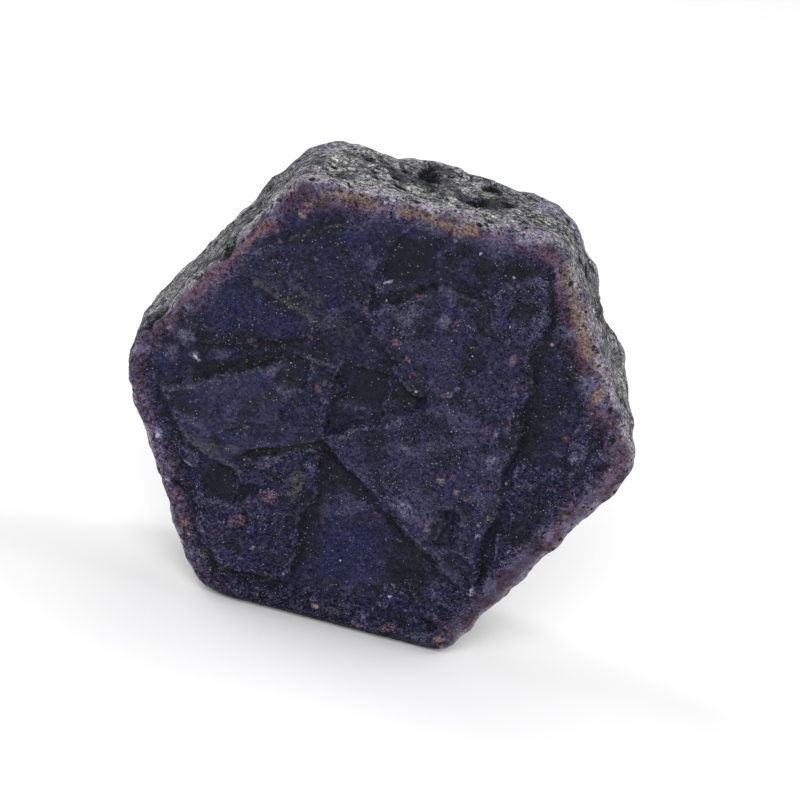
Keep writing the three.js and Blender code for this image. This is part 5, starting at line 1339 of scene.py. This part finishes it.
def corundum_material(colours, mask_names):
    """Rough corundum: basal faces grown in waxy terraces, nearly black with a blue and violet body
    colour; worn rims bleached to rose and tan; prism sides under a grey crust of mica flakes. Shade
    in hollows, pits and at the feet of plate walls, highlights on edges, and glints are painted
    into the colour."""
    material = bpy.data.materials.new("rough corundum with mica crust")
    material.use_nodes = True
    tree = material.node_tree
    tree.nodes.clear()

    def add(kind, *inputs, **settings):
        return add_node(tree, kind, *inputs, **settings)

    def paint(name):
        return linear(getattr(colours, name))

    def summed(total, weights):
        """Patterns added to the total, each times its weight."""
        for name, weight in weights.items():
            total = add("Math", sources[name], weight, total, operation="MULTIPLY_ADD")
        return total

    def coated(under, colour, source, *reach):
        """A colour over what is under it, by a share that follows the source."""
        share = add("MapRange", source, *reach, **SMOOTH)
        return add("Mix", share, named={UNDER: under, OVER: paint(colour)}, **IN_COLOUR)

    def coats(under, table):
        for colour, source, *reach in table:
            under = coated(under, colour, sources[source], *reach)
        return under

    def stained(under, kind):
        """The skin with one coat from the stain masks, some of which carry painted shade and
        painted highlights; the coat's edge is broken up by grain.
        """
        colour, amount, start, full, most = STAIN_COATS[kind]
        broken = summed(sources[kind], {"breaking": amount})
        middle = 0.5 * amount
        return coated(under, colour, broken, start + middle, full + middle, 0.0, most)

    place = add("TexCoord").node.outputs["Object"]
    sources = {
        name: add("Attribute", attribute_name=name).node.outputs["Fac"] for name in mask_names
    }
    for name, (size, detail, rough, distortion) in PATTERNS.items():
        sources[name] = add("TexNoise", named={
            "Vector": place, "Scale": texture_scale(size), "Detail": detail, "Roughness": rough,
            "Distortion": distortion,
        })
    cell = {name: cell_numbers(add, place, *sizes) for name, sizes in CELLS.items()}
    sources.update({name: numbers[0] for name, numbers in cell.items()})
    share = {
        name: add("MapRange", sources[source], *reach, **SMOOTH)
        for name, (source, *reach) in SHARES.items()
    }
    border, rim, crusty_zone, grainy_zone = (
        add("Math", sources[name], share[name], operation="MULTIPLY")
        for name in ("border", "rim", "crust", "grain")
    )
    crust, grain = sources["crust"], sources["grain"]
    coarse = add("Math", grain, crust, operation="MAXIMUM")

    # Basal faces: navy ground, violet-grey plates, both mottled and clouded in dark grey. Where
    # the patterns are in the middle of their range, the tone goes from 0 to 1 as it was given.
    tone = summed(sources["tone"], MOTTLING)
    middle = 0.5 * sum(MOTTLING.values())
    body = coats(coated(paint("navy"), "plate", tone, middle, middle + 1), FACE_COATS)
    # Prism sides: mica crust, dark and light flakes of a third of a millimetre, and its border.
    sides = coats(paint("crust_dark"), CRUST_COATS)
    bare = coats(paint("bare"), BARE_COATS)
    sides = add("Mix", border, named={UNDER: sides, OVER: bare}, **IN_COLOUR)
    skin = add("Mix", crust, named={UNDER: body, OVER: sides}, **IN_COLOUR)
    skin = stained(skin, "blue")
    # Worn rim: rose and lilac grains.
    bleached = coats(paint("rose"), RIM_COATS)
    skin = add("Mix", rim, named={UNDER: skin, OVER: bleached}, **IN_COLOUR)
    for kind in ("olive", "lilac", "rose", "tan", "dark"):
        skin = stained(skin, kind)
    # Painted shade in hollows and pits.
    skin = coats(skin, HOLLOW_SHADE_COATS)
    # Vesicles too small for the relief: painted shade of black holes in the crust, thick in some
    # zones, and a few pinholes where the basal faces are grainy.
    zone = add("Math", crusty_zone, grainy_zone, operation="MAXIMUM")
    most = add("Math", zone, HOLE_STRENGTH, operation="MULTIPLY")
    most = add("Math", most, BLACKEST, operation="MINIMUM")
    for name in ("pinholes", "small holes", "large holes"):
        number, luck, middle = cell[name]
        radius = add("Math", luck, HOLE_RANGE, HOLE_RADIUS, operation="MULTIPLY_ADD")
        inside = add("Math", radius, middle, operation="SUBTRACT")
        chosen = add("Math", zone, HOLE_ZONE, number, operation="MULTIPLY_ADD")
        chosen = add("Math", chosen, HOLE_NUMBER, operation="GREATER_THAN")
        hole = add("MapRange", inside, *HOLE_EDGE, **SMOOTH)
        hole = add("Math", chosen, hole, operation="MULTIPLY")
        hole = add("Math", hole, most, operation="MULTIPLY")
        skin = add("Mix", hole, named={UNDER: skin, OVER: paint("pit")}, **IN_COLOUR)
    # Painted highlights: edges that stand out are painted paler, in grains.
    edge_highlight = add("Math", share["edge highlights"], share["edge highlight grains"], operation="MULTIPLY")
    skin = add("Mix", edge_highlight, named={UNDER: skin, OVER: paint("edge_highlight")}, **IN_COLOUR)
    # Grain: every fifth of a millimetre is darker or paler, more so where the skin is coarse, and
    # less so on the rim, on the border and in the crust. It is greyer than what it lies in.
    speck = summed(-0.5 * sum(SPECKS.values()), SPECKS)
    calm = add("Math", sources["rim"], sources["border"], operation="MAXIMUM")
    crust_calm = add("Math", crust, CRUST_CALM, operation="MULTIPLY")
    calm = add("Math", calm, crust_calm, operation="MAXIMUM")
    calm = add("Math", calm, -CALM, 1.0, operation="MULTIPLY_ADD")
    strength = add("Math", coarse, COARSE_STRENGTH, GRAIN_STRENGTH, operation="MULTIPLY_ADD")
    strength = add("Math", strength, calm, operation="MULTIPLY")
    shade = add("Math", speck, strength, PALER, operation="MULTIPLY_ADD")
    shade = add("Math", shade, DARKEST, operation="MAXIMUM")
    greyed = add("Mix", GREYED, named={UNDER: skin, OVER: add("RGBToBW", skin)}, **IN_COLOUR)
    greyed = add("VectorMath", greyed, named={"Scale": shade}, operation="SCALE")
    skin = add("VectorMath", skin, greyed, operation="ADD")
    # Glints of single grains, in swarms: many dim ones and a few bright ones.
    swarm = add("Math", coarse, COARSE_GLINTS, share["swarms"], operation="MULTIPLY_ADD")
    for name, (needed, reach, dim, bright) in GLINTS.items():
        number, level, middle = cell[name]
        chosen = add("Math", swarm, number, operation="ADD")
        chosen = add("Math", chosen, needed, operation="GREATER_THAN")
        edge = (reach + GLINT_OUTSIDE, reach - GLINT_INSIDE)
        glint = add("MapRange", middle, *edge, **SMOOTH)
        glint = add("Math", chosen, glint, operation="MULTIPLY")
        level = add("MapRange", level, *GLINT_LEVELS, dim, bright, **SMOOTH)
        glint = add("Math", glint, level, operation="MULTIPLY")
        skin = add("Mix", glint, named={UNDER: skin, OVER: paint("glint")}, **IN_COLOUR)
    skin = stained(skin, "white")

    # Waxy sheen on the plates, dull grain in the crust; relief finer than the mesh.
    dull = add("Math", grain, GRAIN_DULLNESS, operation="MULTIPLY")
    dull = add("Math", crust, dull, operation="MAXIMUM")
    height = summed(sources["broad lumps"], {"fine lumps": FINE_LUMPS})
    flake_height = add("Math", dull, FLAKE_HEIGHT, operation="MULTIPLY")
    height = add("Math", cell["flakes"][2], flake_height, height, operation="MULTIPLY_ADD")
    normal = add("Bump", named={
        "Strength": add("Math", dull, 1 - SHEEN_BUMP, SHEEN_BUMP, operation="MULTIPLY_ADD"),
        "Distance": BUMP_DEPTH * MM, "Height": height,
    })
    gloss = {"A": share["gloss"], "B": DULL_ROUGHNESS}
    roughness = add("Mix", dull, named=gloss, data_type="FLOAT")
    shader = add("BsdfPrincipled", named={
        "Base Color": skin, "Roughness": roughness, "IOR": CORUNDUM_IOR,
        "Specular IOR Level": SPECULAR, "Normal": normal,
    })
    add("OutputMaterial", shader)
    return material


def paper_material():
    """Matt white paper: smooth and evenly lit, with next to no sheen."""
    material = bpy.data.materials.new("matt white paper")
    material.use_nodes = True
    shader = material.node_tree.nodes["Principled BSDF"]
    shader.inputs["Base Color"].default_value = linear("#f7f6f7")
    shader.inputs["Roughness"].default_value = 0.9
    shader.inputs["Specular IOR Level"].default_value = 0.1
    return material


# ---- Settings ---------------------------------------------------------------------------------

class CrystalSizes(bpy.types.PropertyGroup):
    """How finely the skin is worked."""

    lattice_steps: bpy.props.IntProperty(
        name="Lattice steps", description="Steps from the middle of a basal face to its rim",
        default=96, min=12, max=96,
    )
    rim_rows: bpy.props.IntProperty(
        name="Rim rows", description="Rows of points over each worn rim", default=11, min=3, max=16,
    )
    side_rows: bpy.props.IntProperty(
        name="Side rows", description="Rows of points over a prism side", default=54, min=8, max=60,
    )


def colour(name, description, default):
    """A colour setting, kept as an sRGB hex value."""
    return bpy.props.StringProperty(name=name, description=description, default=default)


class CrystalColours(bpy.types.PropertyGroup):
    """Colours of the skin, as sRGB hex values."""

    navy: colour("Navy", "Ground of the basal faces", "#16162b")
    plate: colour("Plate", "Tops of the growth plates", "#2a283f")
    milky: colour("Milky", "Milky clouds", "#3c3952")
    blue: colour("Blue", "Clear blue clouds", "#1e2143")
    # This colour is both the stone's dark clouds and painted shade in the dark zones between the
    # plates.
    charcoal: colour("Charcoal", "Dark zones between the plates", "#12121b")
    olive: colour("Olive", "Grey-green streaks", "#40403f")
    # Lilac is bleached corundum, and in the lines along plate edges it is painted highlight.
    lilac: colour("Lilac", "Bleached corundum", "#7c7694")
    bare: colour("Bare", "Border of the crust, where it is worn thin", "#a19daa")
    rose: colour("Rose", "Rose grains of the rim", "#694d5c")
    tan: colour("Tan", "Rusty grains of the rim", "#84705b")
    crust: colour("Crust", "Mica crust", "#adadab")
    crust_dark: colour("Dark crust", "Dark mica", "#303233")
    mica: colour("Mica", "Light flakes", "#cbccce")
    # This colour is painted shade: in the hollows of the basal faces, in the crust's pits and in
    # holes too small for the relief.
    pit: colour("Pit", "Dirt in the pits", "#0b0b0d")
    # Painted highlight along edges that stand out.
    edge_highlight: colour("Rubbed", "Rubbed edges", "#504b63")
    # Painted glints: light caught by single grains.
    glint: colour("Glint", "Bright grains", "#c3c6da")
    # This colour is partly pale inclusions and partly painted glints.
    cream: colour("Cream", "Clear bright inclusions", "#d8d2e4")


class StageSettings(bpy.types.PropertyGroup):
    """Camera and its view of the crystal."""

    distance: bpy.props.FloatProperty(
        name="Distance", description="From the camera to the middle of the crystal",
        default=0.330, unit="LENGTH",
    )
    elevation: bpy.props.FloatProperty(
        name="Elevation", description="How far the camera looks down", default=math.radians(20.0),
        subtype="ANGLE",
    )
    roll: bpy.props.FloatProperty(
        name="Roll", description="How far the camera is turned about its own line of sight",
        default=math.radians(14.5), subtype="ANGLE",
    )
    lens: bpy.props.FloatProperty(
        name="Lens", description="Focal length in millimetres", default=135.07,
        subtype="DISTANCE_CAMERA",
    )


# ---- Stage ------------------------------------------------------------------------------------

# Where the camera looks.
AIM = np.array([1.955, 0.0, 24.740]) * MM
SENSOR_WIDTH = 36.0
# Half the width of the floor, the lights' distance and width, all in metres, and the strength of
# the even surround.
FLOOR_HALF = 3.0
LIGHT_DISTANCE = 0.9
LIGHT_WIDTH = 0.6
SURROUND = 0.08
# Soft lights: name, degrees to the right of the camera, degrees up, share of the floor's light.
LIGHTS = (
    ("front", -5.0, 36.0, 0.54),
    ("left", -106.0, 42.0, 0.31),
    ("back", 178.0, 50.0, 0.17),
    ("right", 108.0, 44.0, 0.35),
)


def stand(name, data, across, up, back, where):
    """Puts a camera or a light in the scene, looking away from back."""
    thing = bpy.data.objects.new(name, data)
    rows = [[across[axis], up[axis], back[axis], where[axis]] for axis in range(3)]
    thing.matrix_world = Matrix(rows + [[0.0, 0.0, 0.0, 1.0]])
    bpy.context.scene.collection.objects.link(thing)
    return thing


def place_camera(settings):
    """Long lens, looking along +Y and down, rolled about its line of sight."""
    back = np.array([0.0, -math.cos(settings.elevation), math.sin(settings.elevation)])
    level = np.array([1.0, 0.0, 0.0])
    upright = np.cross(back, level)
    cosine, sine = math.cos(settings.roll), math.sin(settings.roll)
    data = bpy.data.cameras.new("camera")
    data.lens = settings.lens
    data.sensor_width = SENSOR_WIDTH
    data.clip_start = 0.01
    data.clip_end = 20.0
    bpy.context.scene.camera = stand(
        "camera", data, cosine * level + sine * upright, cosine * upright - sine * level, back,
        AIM + back * settings.distance,
    )


def floor_object():
    """A wide sheet of white paper under the crystal."""
    mesh = bpy.data.meshes.new("floor")
    signs = ((-1, -1), (1, -1), (1, 1), (-1, 1))
    corners = [(x * FLOOR_HALF, y * FLOOR_HALF, 0.0) for x, y in signs]
    mesh.from_pydata(corners, [], [(0, 1, 2, 3)])
    mesh.materials.append(paper_material())
    floor = bpy.data.objects.new("floor", mesh)
    bpy.context.scene.collection.objects.link(floor)
    return floor


def place_lights():
    """Large square soft lights that face the origin, in front, behind and at both sides, and a
    dim, even surround. Each light's power gives its share of the floor's light."""
    scene = bpy.context.scene
    scene.world = bpy.data.worlds.new("surround")
    scene.world.use_nodes = True
    background = scene.world.node_tree.nodes["Background"]
    background.inputs["Color"].default_value = linear("#ffffff")
    background.inputs["Strength"].default_value = SURROUND
    for name, turn, up, share in LIGHTS:
        turn, up = math.radians(turn), math.radians(up)
        level, rise = math.cos(up), math.sin(up)
        back = np.array([level * math.sin(turn), -level * math.cos(turn), rise])
        across = np.cross([0.0, 1.0, 0.0], back)
        across = across / np.linalg.norm(across)
        data = bpy.data.lights.new(name, "AREA")
        data.size = LIGHT_WIDTH
        data.energy = share * (math.pi * LIGHT_DISTANCE) ** 2 / rise
        stand(name, data, across, np.cross(back, across), back, back * LIGHT_DISTANCE)
    scene.view_settings.view_transform = "Standard"
    scene.view_settings.look = "None"


# ---- Operators --------------------------------------------------------------------------------

class SAPPHIRE_OT_crystal(bpy.types.Operator):
    """Grow the crystal's skin and let it stand for the solid."""

    bl_idname = "sapphire.crystal"
    bl_label = "Crystal"

    def execute(self, context):
        sizes = context.scene.sapphire_sizes
        points, triangles, masks = crystal_skin(
            sizes.lattice_steps, sizes.rim_rows, sizes.side_rows,
        )
        if len(triangles) >= MOST_TRIANGLES:
            raise RuntimeError("the skin has too many triangles")
        skin = surface_object("sapphire_skin", points, triangles, masks)
        skin.data.materials.append(corundum_material(context.scene.sapphire_colours, masks))
        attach(skin, "root")
        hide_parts(NODE)
        return {"FINISHED"}


class SAPPHIRE_OT_stage(bpy.types.Operator):
    """Set the camera, the floor and the light."""

    bl_idname = "sapphire.stage"
    bl_label = "Stage"

    def execute(self, context):
        place_camera(context.scene.sapphire_stage)
        floor = floor_object()
        place_lights()
        return {"FINISHED"}


class SAPPHIRE_PT_panel(bpy.types.Panel):
    """Lists the steps in the sidebar."""

    bl_idname = "SAPPHIRE_PT_panel"
    bl_label = "Rough sapphire"
    bl_space_type = "VIEW_3D"
    bl_region_type = "UI"
    bl_category = "Sapphire"

    def draw(self, context):
        for operator in OPERATORS:
            self.layout.operator(operator.bl_idname)


OPERATORS = (SAPPHIRE_OT_crystal, SAPPHIRE_OT_stage)
GROUPS = {
    "sapphire_sizes": CrystalSizes,
    "sapphire_colours": CrystalColours,
    "sapphire_stage": StageSettings,
}
CLASSES = (*GROUPS.values(), *OPERATORS, SAPPHIRE_PT_panel)


def register():
    for kind in CLASSES:
        bpy.utils.register_class(kind)
    for name, group in GROUPS.items():
        setattr(bpy.types.Scene, name, bpy.props.PointerProperty(type=group))


def unregister():
    for name in GROUPS:
        delattr(bpy.types.Scene, name)
    for kind in reversed(CLASSES):
        bpy.utils.unregister_class(kind)


def main():
    register()
    bpy.ops.sapphire.stage()
    bpy.ops.sapphire.crystal()


if __name__ == "__main__":
    main()
